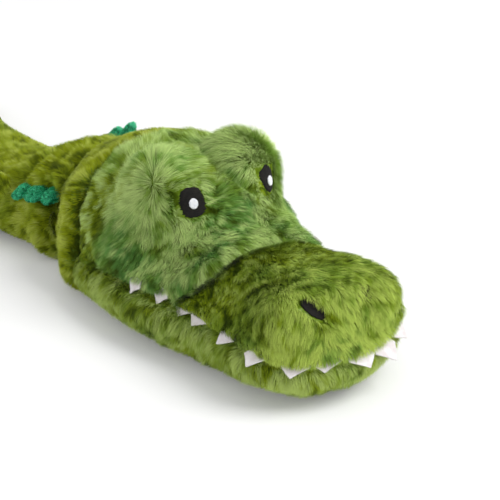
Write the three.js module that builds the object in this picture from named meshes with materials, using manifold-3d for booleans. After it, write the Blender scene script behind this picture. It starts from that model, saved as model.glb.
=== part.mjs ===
// A stuffed alligator dog toy lying on the floor with its head turned a little to its own right.
// Plush covers close over stuffing, which holds the squeakers. Felt teeth are caught in the mouth seam, and
// scute strips in the back and tail seams. The neck, the legs and the tail swing on upright axes, each with a
// round root seated in the larger form beside it. The frame has +Z up and the torso along Y, with the tail
// towards +Y. The origin is on the floor under the middle of the torso. Lengths are in millimetres.
import * as THREE from "three";
import { mergeVertices } from "three/addons/utils/BufferGeometryUtils.js";
import Module from "manifold-3d";

const wasm = await Module();
wasm.setup();

const { degToRad, radToDeg } = THREE.MathUtils;

// Cloth, gaps and cuts
const plushThickness = 7; // backing cloth and pile together
const seamGap = 0.4; // between two covers that are sewn together
const looseGap = 0.4; // between a piece and what holds it
const jointGap = 0.8; // between two parts that swing on each other
const flatDepth = 0.5; // how far the floor flattens the lowest surface
const overrun = 20; // how far a cutting body passes the surface that it cuts

// Each form runs along its own +Y from its pivot. Its round root turns in a socket.
const head = {
  turn: degToRad(13), // from the torso's line to the head's
  length: 190, // from the neck pivot to the front of the snout
  rearReach: 30,
  halfWidth: 64,
  height: 86,
  rearRound: 20,
  frontRound: 34,
  rootRadius: 66,
  rootHeight: 88,
  steps: 20,
  rings: 15,
  rootSteps: 24,
  rootRings: 8,
};
// Rows of a form: place along it, half width, top, widest height and sideways lean
const headRowShares = [
  [-0.16, 0.93, 1.0, 0.28, 0],
  [0, 1.0, 1.0, 0.28, 0],
  [0.2, 1.04, 0.97, 0.28, 0],
  [0.36, 0.95, 0.87, 0.27, 0.014],
  [0.5, 0.83, 0.755, 0.26, 0.022],
  [0.62, 0.77, 0.76, 0.26, 0.01],
  [0.74, 0.75, 0.78, 0.26, 0],
  [0.86, 0.77, 0.8, 0.26, 0],
  [0.95, 0.74, 0.8, 0.27, 0],
  [1, 0.7, 0.76, 0.28, 0],
];
const brow = {
  side: 25,
  ahead: 42,
  seat: 56,
  halfWidth: 28,
  halfLength: 33,
  halfHeight: 42,
  steps: 14,
  rings: 8,
};
const snoutSeam = { setBack: 81, drop: 14, reach: 53, endRoundness: 6, steps: 12 };
// Rows of the mouth seam: place along the head and height
const mouthRowShares = [
  [-0.6, 0.26],
  [0, 0.33],
  [0.28, 0.38],
  [0.6, 0.385],
  [0.86, 0.375],
  [0.95, 0.33],
  [1.2, 0.32],
];
const mouthSteps = 24;
const mouthCorner = 50; // from the neck pivot to where the row of teeth may begin
// Places of the teeth along the mouth seam, from its middle at the front to its corner
const toothPlaceShares = {
  right: [0.105, 0.2, 0.32, 0.46, 0.595, 0.69, 0.8, 0.91],
  left: [0.015, 0.12, 0.22, 0.34, 0.47, 0.6, 0.73, 0.87],
};
const tooth = { width: 14, length: 10, thickness: 1.5, rootDepth: 6, rootNarrowing: 2, splay: degToRad(38) };
const eye = {
  side: 22.6,
  ahead: 69.5,
  height: 77.5,
  width: 16,
  tall: 18,
  squareness: 3.5,
  yaw: degToRad(10), // away from the middle
  pitch: degToRad(33), // above level
  roll: 0, // how far its inner end is lowered
  depth: 2,
  proud: 0.3,
  cutReach: 14,
};
const highlight = { width: 5.6, tall: 5.6, squareness: 2, aside: 1.1, below: 1.4, proud: 0.6 };
const nostrilSetBack = 14.5; // from the front of the snout
const nostril = {
  side: 16,
  ahead: head.length - nostrilSetBack,
  height: 56.5,
  width: 12,
  tall: 3.6,
  squareness: 2.6,
  yaw: degToRad(14),
  pitch: degToRad(35),
  roll: degToRad(41),
  depth: 2.5,
  proud: 0,
  cutReach: 10,
};
const outlineSteps = 12; // round an eye or a nostril

const torso = {
  pivotAhead: 140, // from the torso's middle to the neck pivot
  length: 280, // from the neck pivot to the tail pivot
  rearReach: 20,
  frontReach: 20,
  halfWidth: 50,
  height: 62,
  rearRound: 20,
  frontRound: 20,
  steps: 18,
  rings: 16,
  seamHeight: 21, // where the seam planes of the four panels meet
  // Above level. They differ because the torso lies rolled a little to its right.
  seamAngles: { right: degToRad(25), left: degToRad(50) },
  bellySeamAngle: degToRad(32), // below level
};
const torsoRowShares = [
  [-0.07, 0.98, 0.98, 0.34, 0],
  [0.1, 0.98, 1.04, 0.34, 0],
  [0.2, 0.92, 1.03, 0.34, 0.012],
  [0.29, 0.85, 0.82, 0.36, 0.006],
  [0.37, 0.8, 0.67, 0.38, -0.014],
  [0.48, 0.77, 0.63, 0.38, -0.02],
  [0.6, 0.78, 0.62, 0.38, -0.018],
  [0.7, 0.86, 0.7, 0.38, -0.006],
  [0.8, 1.02, 0.9, 0.38, 0],
  [0.87, 0.96, 0.87, 0.38, 0],
  [0.94, 0.77, 0.76, 0.36, 0],
  [1.0, 0.64, 0.68, 0.34, 0],
  [1.07, 0.58, 0.64, 0.34, 0],
];

const leg = {
  length: 62,
  rearReach: 8,
  halfWidth: 19,
  height: 30,
  rearRound: 10,
  frontRound: 14,
  rootRadius: 21,
  rootHeight: 30.5,
  steps: 10,
  rings: 7,
  rootSteps: 14,
  rootRings: 6,
};
const legRowShares = [
  [-0.12, 0.94, 0.95, 0.38, 0],
  [0.3, 0.94, 1.0, 0.38, 0],
  [0.6, 0.98, 0.96, 0.38, 0],
  [0.84, 1.1, 0.9, 0.38, 0],
  [1, 1.05, 0.8, 0.38, 0],
];
// Places of the leg pivots, and how far each pair leans towards the tail
const rearLegSetBack = 33; // ahead of the tail pivot
const frontLeg = { behindNeck: 130, side: 41, sweep: degToRad(8) };
const rearLeg = { behindNeck: torso.length - rearLegSetBack, side: 52, sweep: degToRad(64) };

const tailBase = {
  length: 105,
  rearReach: 12,
  halfWidth: 33,
  height: 44,
  rearRound: 12,
  frontRound: 14,
  rootRadius: 37,
  rootHeight: 49,
  steps: 14,
  rings: 8,
  rootSteps: 18,
  rootRings: 6,
  seamHeight: 15,
  seamAngles: { right: degToRad(30), left: degToRad(38) },
};
const tailBaseRowShares = [
  [-0.12, 0.94, 0.96, 0.36, 0],
  [0.2, 0.96, 0.97, 0.36, 0],
  [0.6, 0.78, 0.84, 0.36, 0],
  [1, 0.6, 0.72, 0.36, 0],
  [1.13, 0.55, 0.66, 0.36, 0],
];
const tailTip = {
  length: 95,
  rearReach: 8,
  halfWidth: 20,
  height: 32,
  rearRound: 8,
  frontRound: 12,
  rootRadius: 23,
  rootHeight: 34,
  steps: 10,
  rings: 7,
  rootSteps: 14,
  rootRings: 6,
};
const tailTipRowShares = [
  [-0.09, 0.92, 0.95, 0.36, 0],
  [0.25, 0.9, 0.93, 0.36, 0.015],
  [0.6, 0.7, 0.78, 0.38, 0.06],
  [1, 0.55, 0.7, 0.36, 0.14],
];

const topRoundness = 2.05; // of a form's section, where 2 is an ellipse
const baseRoundness = 2.8;
const rootTopRoundness = 2.3;
const rootBaseRoundness = 3.3;
const rootSeatShare = 0.3; // widest height of a root, of its height
const hiddenDetailShare = 0.65; // steps and rings of the surfaces inside the plush, of those outside
// The window where a limb's cover is open behind its pivot: its nearness and half width as shares of the
// root's radius, its foot and its top as shares of the root's height
const rootWindowShares = { near: 0.4, halfWidth: 0.6, low: 0.25, high: 0.6 };

const scute = {
  tapeThickness: 1.6,
  tapeDepth: 5, // inside the seam
  tapeProud: 3,
  length: 10, // of a lobe
  thickness: 7,
  lift: 1.9, // from the surface to a lobe
  overlap: 3, // between neighbouring lobes
  droops: { right: degToRad(18), left: degToRad(-15) }, // of the lobes from the seam's own direction
  steps: 8,
  rings: 5,
};
const seamTrials = 24; // halvings in the search for a seam on a form's surface
const lobeWidths = [13, 16, 12, 11];
const shoulderStrip = { start: 59, lobes: lobeWidths };
const hipStripSetBack = 88; // from the tail pivot to the strip's front end
const hipStrip = { start: torso.length - hipStripSetBack, lobes: lobeWidths };
const tailStrip = { start: 41, lobes: lobeWidths.slice(0, 3) };

const headSqueaker = { along: 40, base: 24, radius: 22, tall: 28 };
const torsoSqueakerSetBack = 68; // ahead of the tail pivot
const torsoSqueaker = { along: torso.length - torsoSqueakerSetBack, base: 13, radius: 18, tall: 20 };
const squeakerWall = 1.2;
const squeakerSteps = 14;
const squeakerRings = 6;
const squeakerFoot = degToRad(50); // below level, where the bulb is cut flat
const reed = { radius: 4.5, flangeRadius: 6.5, flange: 1.2, tall: 6, bore: 1.5 };

const plush = { color: 0x6c7f35, roughness: 0.95, metalness: 0 };
const plushMaterial = new THREE.MeshStandardMaterial(plush);
const jawMaterial = new THREE.MeshStandardMaterial({ ...plush, color: 0x72854c });
const fillingMaterial = new THREE.MeshStandardMaterial({ color: 0xf1f0ea, roughness: 1, metalness: 0 });
const feltMaterial = new THREE.MeshStandardMaterial({ color: 0xece8e2, roughness: 0.9, metalness: 0 });
const scuteMaterial = new THREE.MeshStandardMaterial({ color: 0x2f8a5c, roughness: 0.9, metalness: 0 });
const blackThreadMaterial = new THREE.MeshStandardMaterial({ color: 0x15151a, roughness: 0.5, metalness: 0 });
const whiteThreadMaterial = new THREE.MeshStandardMaterial({ color: 0xf4f4f6, roughness: 0.5, metalness: 0 });
const squeakerMaterial = new THREE.MeshStandardMaterial({ color: 0xe9e6da, roughness: 0.45, metalness: 0 });

const acrossAxis = new THREE.Vector3(1, 0, 0);
const alongAxis = new THREE.Vector3(0, 1, 0);
const upAxis = new THREE.Vector3(0, 0, 1);

// The head's groups have the toy's right on +X, and the torso's and the tail's have its left there
const headSides = { right: 1, left: -1 };
const torsoSides = { right: -1, left: 1 };

const signedPower = (value, power) => Math.sign(value) * Math.abs(value) ** power;

function solidOf(geometry) {
  geometry.deleteAttribute("normal");
  geometry.deleteAttribute("uv");
  const merged = mergeVertices(geometry);
  const vertProperties = merged.attributes.position.array;
  const triVerts = new Uint32Array(merged.index.array);
  return new wasm.Manifold(new wasm.Mesh({ numProp: 3, vertProperties, triVerts }));
}

function addPiece(parent, name, solid, material) {
  const mesh = solid.getMesh();
  const geometry = new THREE.BufferGeometry();
  geometry.setAttribute("position", new THREE.BufferAttribute(mesh.vertProperties, 3));
  geometry.setIndex(new THREE.BufferAttribute(mesh.triVerts, 1));
  const piece = new THREE.Mesh(geometry, material.clone());
  piece.name = name;
  parent.add(piece);
}

function addGroup(parent, x, y, turn) {
  const made = new THREE.Group();
  made.position.set(x, y, 0);
  made.rotation.z = turn;
  parent.add(made);
  return made;
}

function moved(solid, x, y, z = 0, turn = 0) {
  return solid.rotate([0, 0, radToDeg(turn)]).translate([x, y, z]);
}

// Forms

// The size of a form's section at a place along it
function sectionAt(form, rowShares, y) {
  const places = rowShares.map((row) => row[0] * form.length);
  const values = rowShares.flatMap((row) => row.slice(1));
  const [width, top, side, lean] = new THREE.CubicInterpolant(places, values, 4).evaluate(y);
  return {
    halfWidth: width * form.halfWidth,
    top: top * form.height,
    side: side * form.height,
    lean: lean * form.length,
  };
}

// A point of a section, by its angle from the widest point on +X. The share draws it in at a form's ends.
function sectionPoint(section, angle, grow, share) {
  const across = Math.cos(angle);
  const up = Math.sin(angle);
  const power = 2 / (up > 0 ? topRoundness : baseRoundness);
  const reach = up > 0 ? section.top - section.side : section.side + flatDepth;
  return {
    x: section.lean + share * (section.halfWidth + grow) * signedPower(across, power),
    z: section.side + share * (reach + grow) * signedPower(up, power),
  };
}

const detailed = (steps, grow) => Math.round(grow > -plushThickness ? steps : hiddenDetailShare * steps);

// How far a form's round end draws a section in, for its distance from that end
function endShare(distance, round) {
  return Math.sqrt(1 - Math.max(0, 1 - distance / round) ** 2);
}

// A closed body through the sections of a form. A positive grow moves its surface out, a negative one in.
function stuffedForm(form, rowShares, grow) {
  const start = -form.rearReach - grow;
  const end = form.length + (form.frontReach ?? 0) + grow;
  const steps = detailed(form.steps, grow);
  const rings = detailed(form.rings, grow);
  const positions = [];
  const faces = [];
  const addPole = (y) => {
    const section = sectionAt(form, rowShares, y);
    positions.push(section.lean, y, section.side);
  };
  addPole(start);
  for (let i = 1; i < rings; i++) {
    const y = start + ((end - start) * (1 - Math.cos((Math.PI * i) / rings))) / 2;
    const section = sectionAt(form, rowShares, y);
    const share = endShare(end - y, form.frontRound + grow) * endShare(y - start, form.rearRound + grow);
    for (let j = 0; j < steps; j++) {
      const point = sectionPoint(section, (2 * Math.PI * j) / steps, grow, share);
      positions.push(point.x, y, point.z);
    }
  }
  addPole(end);
  const last = positions.length / 3 - 1;
  for (let j = 0; j < steps; j++) {
    const next = (j + 1) % steps;
    faces.push(0, 1 + j, 1 + next);
    for (let i = 0; i < rings - 2; i++) {
      const a = 1 + i * steps;
      const b = a + steps;
      faces.push(a + j, b + j, b + next, a + j, b + next, a + next);
    }
    const a = last - steps;
    faces.push(last, a + next, a + j);
  }
  const geometry = new THREE.BufferGeometry();
  geometry.setAttribute("position", new THREE.Float32BufferAttribute(positions, 3));
  geometry.setIndex(faces);
  return solidOf(geometry);
}

// The round root of a limb, turned about its upright pivot
function roundRoot(form, grow) {
  const side = rootSeatShare * form.rootHeight;
  const steps = detailed(form.rootSteps, grow);
  const rings = detailed(form.rootRings, grow);
  const points = [];
  for (let i = 0; i <= rings; i++) {
    const angle = Math.PI * (i / rings - 1 / 2);
    const up = Math.sin(angle);
    const power = 2 / (up > 0 ? rootTopRoundness : rootBaseRoundness);
    const reach = up > 0 ? form.rootHeight - side : side + flatDepth;
    const onAxis = i === 0 || i === rings;
    const radius = onAxis ? 0 : (form.rootRadius + grow) * Math.cos(angle) ** power;
    points.push(new THREE.Vector2(radius, side + (reach + grow) * signedPower(up, power)));
  }
  return solidOf(new THREE.LatheGeometry(points, steps).rotateX(Math.PI / 2));
}

const limbForm = (form, rowShares, grow) => stuffedForm(form, rowShares, grow).add(roundRoot(form, grow));

function block(low, high) {
  const size = high.clone().sub(low);
  const middle = low.clone().add(high).multiplyScalar(1 / 2);
  return solidOf(new THREE.BoxGeometry(size.x, size.y, size.z).translate(middle.x, middle.y, middle.z));
}

const farReach = torso.length + head.length;
const lowCorner = new THREE.Vector3(-farReach, -farReach, -farReach);
const belowFloor = block(lowCorner, new THREE.Vector3(farReach, farReach, 0));

// The window in a limb's cover, inside the form that it joins
function rootWindow(form) {
  const { near, halfWidth, low, high } = rootWindowShares;
  const reach = halfWidth * form.rootRadius;
  return block(
    new THREE.Vector3(-reach, -form.rootRadius - overrun, low * form.rootHeight),
    new THREE.Vector3(reach, -near * form.rootRadius, high * form.rootHeight),
  );
}

// A body drawn in two directions and extruded along the third
function drawnBody(outline, first, second, from, to) {
  const third = first.clone().cross(second);
  const settings = { depth: to - from, bevelEnabled: false };
  const geometry = new THREE.ExtrudeGeometry(new THREE.Shape(outline), settings);
  geometry.translate(0, 0, from);
  return geometry.applyMatrix4(new THREE.Matrix4().makeBasis(first, second, third));
}

// Squeakers

// The outline of a squeaker's bulb, up from its flat foot to its top, drawn in by an inset
function bulbOutline(squeaker, inset) {
  const middle = (squeaker.tall * Math.sin(squeakerFoot)) / (1 + Math.sin(squeakerFoot));
  const foot = Math.asin((middle - inset) / (squeaker.tall - middle - inset));
  const points = [];
  for (let i = 0; i <= squeakerRings; i++) {
    const angle = -foot + ((Math.PI / 2 + foot) * i) / squeakerRings;
    const radius = i === squeakerRings ? 0 : (squeaker.radius - inset) * Math.cos(angle);
    points.push(new THREE.Vector2(radius, middle + (squeaker.tall - middle - inset) * Math.sin(angle)));
  }
  return points;
}

function turnedBody(points) {
  return solidOf(new THREE.LatheGeometry(points, squeakerSteps).rotateX(Math.PI / 2));
}

function squeakerBulb(squeaker) {
  const hole = reed.radius + looseGap;
  const inside = bulbOutline(squeaker, squeakerWall).reverse();
  const lip = [new THREE.Vector2(hole, squeakerWall), new THREE.Vector2(hole, 0)];
  const bulb = turnedBody([...inside, ...lip, ...bulbOutline(squeaker, 0)]);
  return moved(bulb, 0, squeaker.along, squeaker.base);
}

// The reed plug fills the hole in the bulb's foot, with its flange under the foot
function squeakerReed(squeaker) {
  const flangeTop = -looseGap;
  const points = [
    new THREE.Vector2(reed.bore, flangeTop - reed.flange),
    new THREE.Vector2(reed.flangeRadius, flangeTop - reed.flange),
    new THREE.Vector2(reed.flangeRadius, flangeTop),
    new THREE.Vector2(reed.radius, flangeTop),
    new THREE.Vector2(reed.radius, flangeTop + reed.tall),
    new THREE.Vector2(reed.bore, flangeTop + reed.tall),
    new THREE.Vector2(reed.bore, flangeTop - reed.flange),
  ];
  return moved(turnedBody(points), 0, squeaker.along, squeaker.base);
}

// The pocket for a squeaker in the stuffing, with the slit under it that it went in through
function squeakerPocket(squeaker) {
  const slit = reed.flangeRadius + looseGap;
  const outline = bulbOutline(squeaker, -looseGap);
  const points = [
    new THREE.Vector2(0, -squeaker.base - overrun),
    new THREE.Vector2(slit, -squeaker.base - overrun),
    new THREE.Vector2(slit, outline[0].y),
    ...outline,
  ];
  return moved(turnedBody(points), 0, squeaker.along, squeaker.base);
}

// Head

const headForms = new Map();
function headForm(grow) {
  if (!headForms.has(grow)) {
    let body = limbForm(head, headRowShares, grow);
    for (const side of Object.values(headSides)) {
      const dome = new THREE.SphereGeometry(1, brow.steps, brow.rings)
        .rotateX(Math.PI / 2)
        .scale(brow.halfWidth + grow, brow.halfLength + grow, brow.halfHeight + grow)
        .translate(side * brow.side, brow.ahead, brow.seat);
      body = body.add(solidOf(dome));
    }
    headForms.set(grow, body);
  }
  return headForms.get(grow);
}

const mouthTable = new THREE.CubicInterpolant(
  mouthRowShares.map((row) => row[0] * head.length),
  mouthRowShares.map((row) => row[1] * head.height),
  1,
);
const mouthHeight = (y) => mouthTable.evaluate(y)[0];

// Everything under the mouth seam
function jawRegion() {
  const from = mouthRowShares[0][0] * head.length;
  const to = mouthRowShares.at(-1)[0] * head.length;
  const outline = [new THREE.Vector2(from, -overrun), new THREE.Vector2(to, -overrun)];
  for (let i = mouthSteps; i >= 0; i--) {
    const y = from + ((to - from) * i) / mouthSteps;
    outline.push(new THREE.Vector2(y, mouthHeight(y)));
  }
  const reach = head.rootRadius + overrun;
  return solidOf(drawnBody(outline, alongAxis, upAxis, -reach, reach));
}

// Everything ahead of the seam between the skull and the snout, moved back by a gap
function snoutRegion(gap) {
  const reach = head.rootRadius + overrun;
  const front = head.length + overrun;
  const outline = [new THREE.Vector2(reach, front), new THREE.Vector2(-reach, front)];
  for (let i = 0; i <= snoutSeam.steps; i++) {
    const x = reach * ((2 * i) / snoutSeam.steps - 1);
    const share = Math.min(Math.abs(x) / snoutSeam.reach, 1);
    const drop = snoutSeam.drop * share ** snoutSeam.endRoundness;
    outline.push(new THREE.Vector2(x, head.length - snoutSeam.setBack - drop - gap));
  }
  return solidOf(drawnBody(outline, acrossAxis, alongAxis, -overrun, head.rootHeight + overrun));
}

// The mouth seam on the head's surface, from its middle at the front to the corner on +X
function mouthCurve() {
  const halfWidthAt = (y) => {
    const section = sectionAt(head, headRowShares, y);
    const share = endShare(head.length - y, head.frontRound);
    const up = (mouthHeight(y) - section.side) / (share * (section.top - section.side));
    if (Math.abs(up) >= 1) return 0;
    return share * section.halfWidth * (1 - Math.abs(up) ** topRoundness) ** (1 / topRoundness);
  };
  const points = [];
  for (let i = 0; i <= mouthSteps; i++) {
    const y = mouthCorner + (head.length - mouthCorner) * Math.cos((Math.PI * i) / mouthSteps / 2);
    const x = halfWidthAt(y);
    if (x > 0 || points.length === 0) points.push(new THREE.Vector3(x, y, mouthHeight(y)));
  }
  points[0].x = 0;
  return new THREE.CatmullRomCurve3(points);
}

// A tooth at a point of the mouth seam, with its root up inside the covers
function toothBody(point, outward, grow) {
  const rootward = upAxis
    .clone()
    .multiplyScalar(Math.cos(tooth.splay))
    .addScaledVector(outward, -Math.sin(tooth.splay));
  const along = upAxis.clone().cross(outward);
  const tipAngle = Math.atan2(tooth.width / 2, tooth.length);
  const half = tooth.width / 2 + grow / Math.cos(tipAngle);
  const rootHalf = half - tooth.rootNarrowing;
  const outline = [
    new THREE.Vector2(0, -tooth.length - grow / Math.sin(tipAngle)),
    new THREE.Vector2(half, 0),
    new THREE.Vector2(rootHalf, tooth.rootDepth + grow),
    new THREE.Vector2(-rootHalf, tooth.rootDepth + grow),
    new THREE.Vector2(-half, 0),
  ];
  const reach = tooth.thickness / 2 + grow;
  return solidOf(drawnBody(outline, along, rootward, -reach, reach).translate(point.x, point.y, point.z));
}

// A rounded outline about a point. A squareness of 2 makes an ellipse, and more makes it squarer.
function roundedOutline(shape, grow, x = 0, y = 0) {
  const points = [];
  for (let i = 0; i < outlineSteps; i++) {
    const angle = (2 * Math.PI * i) / outlineSteps;
    const across = (shape.width / 2 + grow) * signedPower(Math.cos(angle), 2 / shape.squareness);
    const up = (shape.tall / 2 + grow) * signedPower(Math.sin(angle), 2 / shape.squareness);
    points.push(new THREE.Vector2(x + across, y + up));
  }
  return points;
}

// A prism through the head's surface where an eye or a nostril is, along the direction that it faces.
// The outline has the toy's left on +X.
function facePrism(feature, side, outline) {
  const yaw = -side * feature.yaw;
  const facing = alongAxis.clone().applyAxisAngle(acrossAxis, feature.pitch).applyAxisAngle(upAxis, yaw);
  const across = acrossAxis.clone().negate().applyAxisAngle(upAxis, yaw);
  across.applyAxisAngle(facing, -side * feature.roll);
  const up = facing.clone().cross(across);
  const prism = drawnBody(outline, across, up, -feature.cutReach, feature.cutReach);
  return solidOf(prism.translate(side * feature.side, feature.ahead, feature.height));
}

// What is left of a prism between two depths in the head's surface
const inSurface = (prism, proud, depth) => headForm(proud).intersect(prism).subtract(headForm(-depth));

function buildHead(parent) {
  const shell = headForm(0)
    .subtract(headForm(-plushThickness))
    .subtract(belowFloor)
    .subtract(rootWindow(head));
  const upper = shell.subtract(jawRegion().translate([0, 0, seamGap]));
  let jaw = shell.intersect(jawRegion());
  let snout = upper.intersect(snoutRegion(0));
  let skull = upper.subtract(snoutRegion(seamGap));
  const mouth = mouthCurve();

  for (const [name, side] of Object.entries(headSides)) {
    toothPlaceShares[name].forEach((share, i) => {
      const point = mouth.getPointAt(share);
      const tangent = mouth.getTangentAt(share);
      const outward = new THREE.Vector3(side * -tangent.y, tangent.x, 0).normalize();
      point.x *= side;
      const slot = toothBody(point, outward, looseGap);
      jaw = jaw.subtract(slot);
      snout = snout.subtract(slot);
      skull = skull.subtract(slot);
      addPiece(parent, `tooth_${name}_${i + 1}`, toothBody(point, outward, 0), feltMaterial);
    });

    const glint = (grow) =>
      facePrism(eye, side, roundedOutline(highlight, grow, highlight.aside, -highlight.below));
    const patch = facePrism(eye, side, roundedOutline(eye, 0)).subtract(glint(looseGap));
    addPiece(parent, `eye_patch_${name}`, inSurface(patch, eye.proud, eye.depth), blackThreadMaterial);
    const shine = inSurface(glint(0), highlight.proud, eye.depth);
    addPiece(parent, `eye_highlight_${name}`, shine, whiteThreadMaterial);
    const eyeRoom = facePrism(eye, side, roundedOutline(eye, looseGap));
    skull = skull.subtract(eyeRoom.subtract(headForm(-eye.depth - looseGap)));

    const slit = facePrism(nostril, side, roundedOutline(nostril, 0));
    addPiece(parent, `nostril_${name}`, inSurface(slit, nostril.proud, nostril.depth), blackThreadMaterial);
    const slitRoom = facePrism(nostril, side, roundedOutline(nostril, looseGap));
    snout = snout.subtract(slitRoom.subtract(headForm(-nostril.depth - looseGap)));
  }

  addPiece(parent, "skull_cover", skull, plushMaterial);
  addPiece(parent, "snout_cover", snout, plushMaterial);
  addPiece(parent, "jaw_cover", jaw, jawMaterial);
  const filling = headForm(-plushThickness - looseGap).subtract(squeakerPocket(headSqueaker));
  addPiece(parent, "head_stuffing", filling, fillingMaterial);
  addPiece(parent, "head_squeaker", squeakerBulb(headSqueaker), squeakerMaterial);
  addPiece(parent, "head_squeaker_reed", squeakerReed(headSqueaker), squeakerMaterial);
}

// Scute strips

// A point on the surface of a form, by its direction about the line where the seam planes meet
function seamPoint(form, rowShares, y, angle) {
  const section = sectionAt(form, rowShares, y);
  let low = 0;
  let high = Math.PI;
  let point;
  for (let i = 0; i < seamTrials; i++) {
    const middle = (low + high) / 2;
    point = sectionPoint(section, middle, 0, 1);
    if (Math.atan2(point.z - form.seamHeight, point.x) < angle) low = middle;
    else high = middle;
  }
  return new THREE.Vector3(point.x, y, point.z);
}

// A strip of scutes caught in a seam of a form, and the room that its tape takes there
function scuteStrip(form, rowShares, name, strip) {
  const side = torsoSides[name];
  const angle = side > 0 ? form.seamAngles[name] : Math.PI - form.seamAngles[name];
  const bodies = [];
  const rooms = [];
  let start = strip.start;
  for (const width of strip.lobes) {
    const from = seamPoint(form, rowShares, start, angle);
    const to = seamPoint(form, rowShares, start + width, angle);
    const along = to.clone().sub(from).normalize();
    const across = along.clone().cross(new THREE.Vector3(Math.cos(angle), 0, Math.sin(angle))).normalize();
    const middle = seamPoint(form, rowShares, start + width / 2, angle);
    const basis = new THREE.Matrix4().makeBasis(along, across.clone().cross(along), across);
    basis.setPosition(middle);

    const tape = (grow) => {
      const size = [width, scute.tapeDepth + scute.tapeProud, scute.tapeThickness];
      const box = new THREE.BoxGeometry(...size.map((value) => value + 2 * grow));
      box.translate(0, (scute.tapeProud - scute.tapeDepth) / 2, 0);
      return solidOf(box.applyMatrix4(basis));
    };
    const lobe = new THREE.SphereGeometry(1 / 2, scute.steps, scute.rings)
      .scale(width, scute.length, scute.thickness)
      .translate(0, scute.length / 2, 0)
      .rotateX(side * scute.droops[name])
      .translate(0, scute.lift, 0);
    bodies.push(solidOf(lobe.applyMatrix4(basis)), tape(0));
    rooms.push(tape(looseGap));
    start += width - scute.overlap;
  }
  const joined = (solids) => solids.reduce((sum, solid) => sum.add(solid));
  return { body: joined(bodies), room: joined(rooms) };
}

// Torso

// A wedge about the line where a form's seam planes meet, drawn back from both of its planes by half a gap
function seamWedge(form, from, to) {
  const middle = (from + to) / 2;
  const back = seamGap / 2 / Math.sin((to - from) / 2);
  const x = back * Math.cos(middle);
  const z = form.seamHeight + back * Math.sin(middle);
  const outline = [new THREE.Vector2(z, x)];
  for (const angle of [from, to]) {
    outline.push(new THREE.Vector2(z + farReach * Math.sin(angle), x + farReach * Math.cos(angle)));
  }
  return solidOf(drawnBody(outline, upAxis, acrossAxis, -farReach, farReach));
}

function buildTorso(parent) {
  const roots = (grow) => {
    let body = roundRoot(head, grow).add(moved(roundRoot(tailBase, grow), 0, torso.length));
    for (const side of Object.values(torsoSides)) {
      for (const place of [frontLeg, rearLeg]) {
        body = body.add(moved(roundRoot(leg, grow), side * place.side, place.behindNeck));
      }
    }
    return body;
  };
  const sockets = roots(jointGap);
  const form = (grow) => stuffedForm(torso, torsoRowShares, grow);
  let shell = form(0).subtract(form(-plushThickness)).subtract(belowFloor).subtract(sockets);
  for (const name of Object.keys(torsoSides)) {
    for (const [stripName, strip] of Object.entries({ shoulder: shoulderStrip, hip: hipStrip })) {
      const made = scuteStrip(torso, torsoRowShares, name, strip);
      shell = shell.subtract(made.room);
      addPiece(parent, `${stripName}_scutes_${name}`, made.body.subtract(sockets), scuteMaterial);
    }
  }
  const left = torso.seamAngles.left;
  const right = Math.PI - torso.seamAngles.right;
  const belly = -torso.bellySeamAngle;
  const panels = {
    torso_back_panel: [left, right],
    torso_side_panel_left: [belly, left],
    torso_side_panel_right: [right, Math.PI - belly],
    torso_belly_panel: [-Math.PI - belly, belly],
  };
  for (const [name, [from, to]] of Object.entries(panels)) {
    addPiece(parent, name, shell.intersect(seamWedge(torso, from, to)), plushMaterial);
  }
  const filling = form(-plushThickness - looseGap).subtract(sockets).subtract(squeakerPocket(torsoSqueaker));
  addPiece(parent, "torso_stuffing", filling, fillingMaterial);
  addPiece(parent, "torso_squeaker", squeakerBulb(torsoSqueaker), squeakerMaterial);
  addPiece(parent, "torso_squeaker_reed", squeakerReed(torsoSqueaker), squeakerMaterial);
}

// Legs and tail

function limbCover(form, rowShares) {
  return limbForm(form, rowShares, 0)
    .subtract(limbForm(form, rowShares, -plushThickness))
    .subtract(belowFloor)
    .subtract(rootWindow(form));
}

const limbFilling = (form, rowShares) => limbForm(form, rowShares, -plushThickness - looseGap);

function buildLeg(parent, name) {
  addPiece(parent, `${name}_cover`, limbCover(leg, legRowShares), plushMaterial);
  addPiece(parent, `${name}_stuffing`, limbFilling(leg, legRowShares), fillingMaterial);
}

function buildTailBase(parent) {
  const socket = moved(roundRoot(tailTip, jointGap), 0, tailBase.length);
  let cover = limbCover(tailBase, tailBaseRowShares).subtract(socket);
  for (const name of Object.keys(torsoSides)) {
    const made = scuteStrip(tailBase, tailBaseRowShares, name, tailStrip);
    cover = cover.subtract(made.room);
    addPiece(parent, `tail_scutes_${name}`, made.body, scuteMaterial);
  }
  addPiece(parent, "tail_base_cover", cover, plushMaterial);
  const filling = limbFilling(tailBase, tailBaseRowShares).subtract(socket);
  addPiece(parent, "tail_base_stuffing", filling, fillingMaterial);
}

function buildTailTip(parent) {
  addPiece(parent, "tail_tip_cover", limbCover(tailTip, tailTipRowShares), plushMaterial);
  addPiece(parent, "tail_tip_stuffing", limbFilling(tailTip, tailTipRowShares), fillingMaterial);
}

const toy = new THREE.Group();
const torsoGroup = addGroup(toy, 0, -torso.pivotAhead, 0);
buildTorso(torsoGroup);
buildHead(addGroup(torsoGroup, 0, 0, Math.PI - head.turn));
for (const [name, side] of Object.entries(torsoSides)) {
  for (const [pair, place] of Object.entries({ front: frontLeg, rear: rearLeg })) {
    const turn = side * (place.sweep - Math.PI / 2);
    buildLeg(addGroup(torsoGroup, side * place.side, place.behindNeck, turn), `${pair}_leg_${name}`);
  }
}
const tailBaseGroup = addGroup(torsoGroup, 0, torso.length, 0);
buildTailBase(tailBaseGroup);
buildTailTip(addGroup(tailBaseGroup, 0, tailBase.length, 0));

export default toy;
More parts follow.
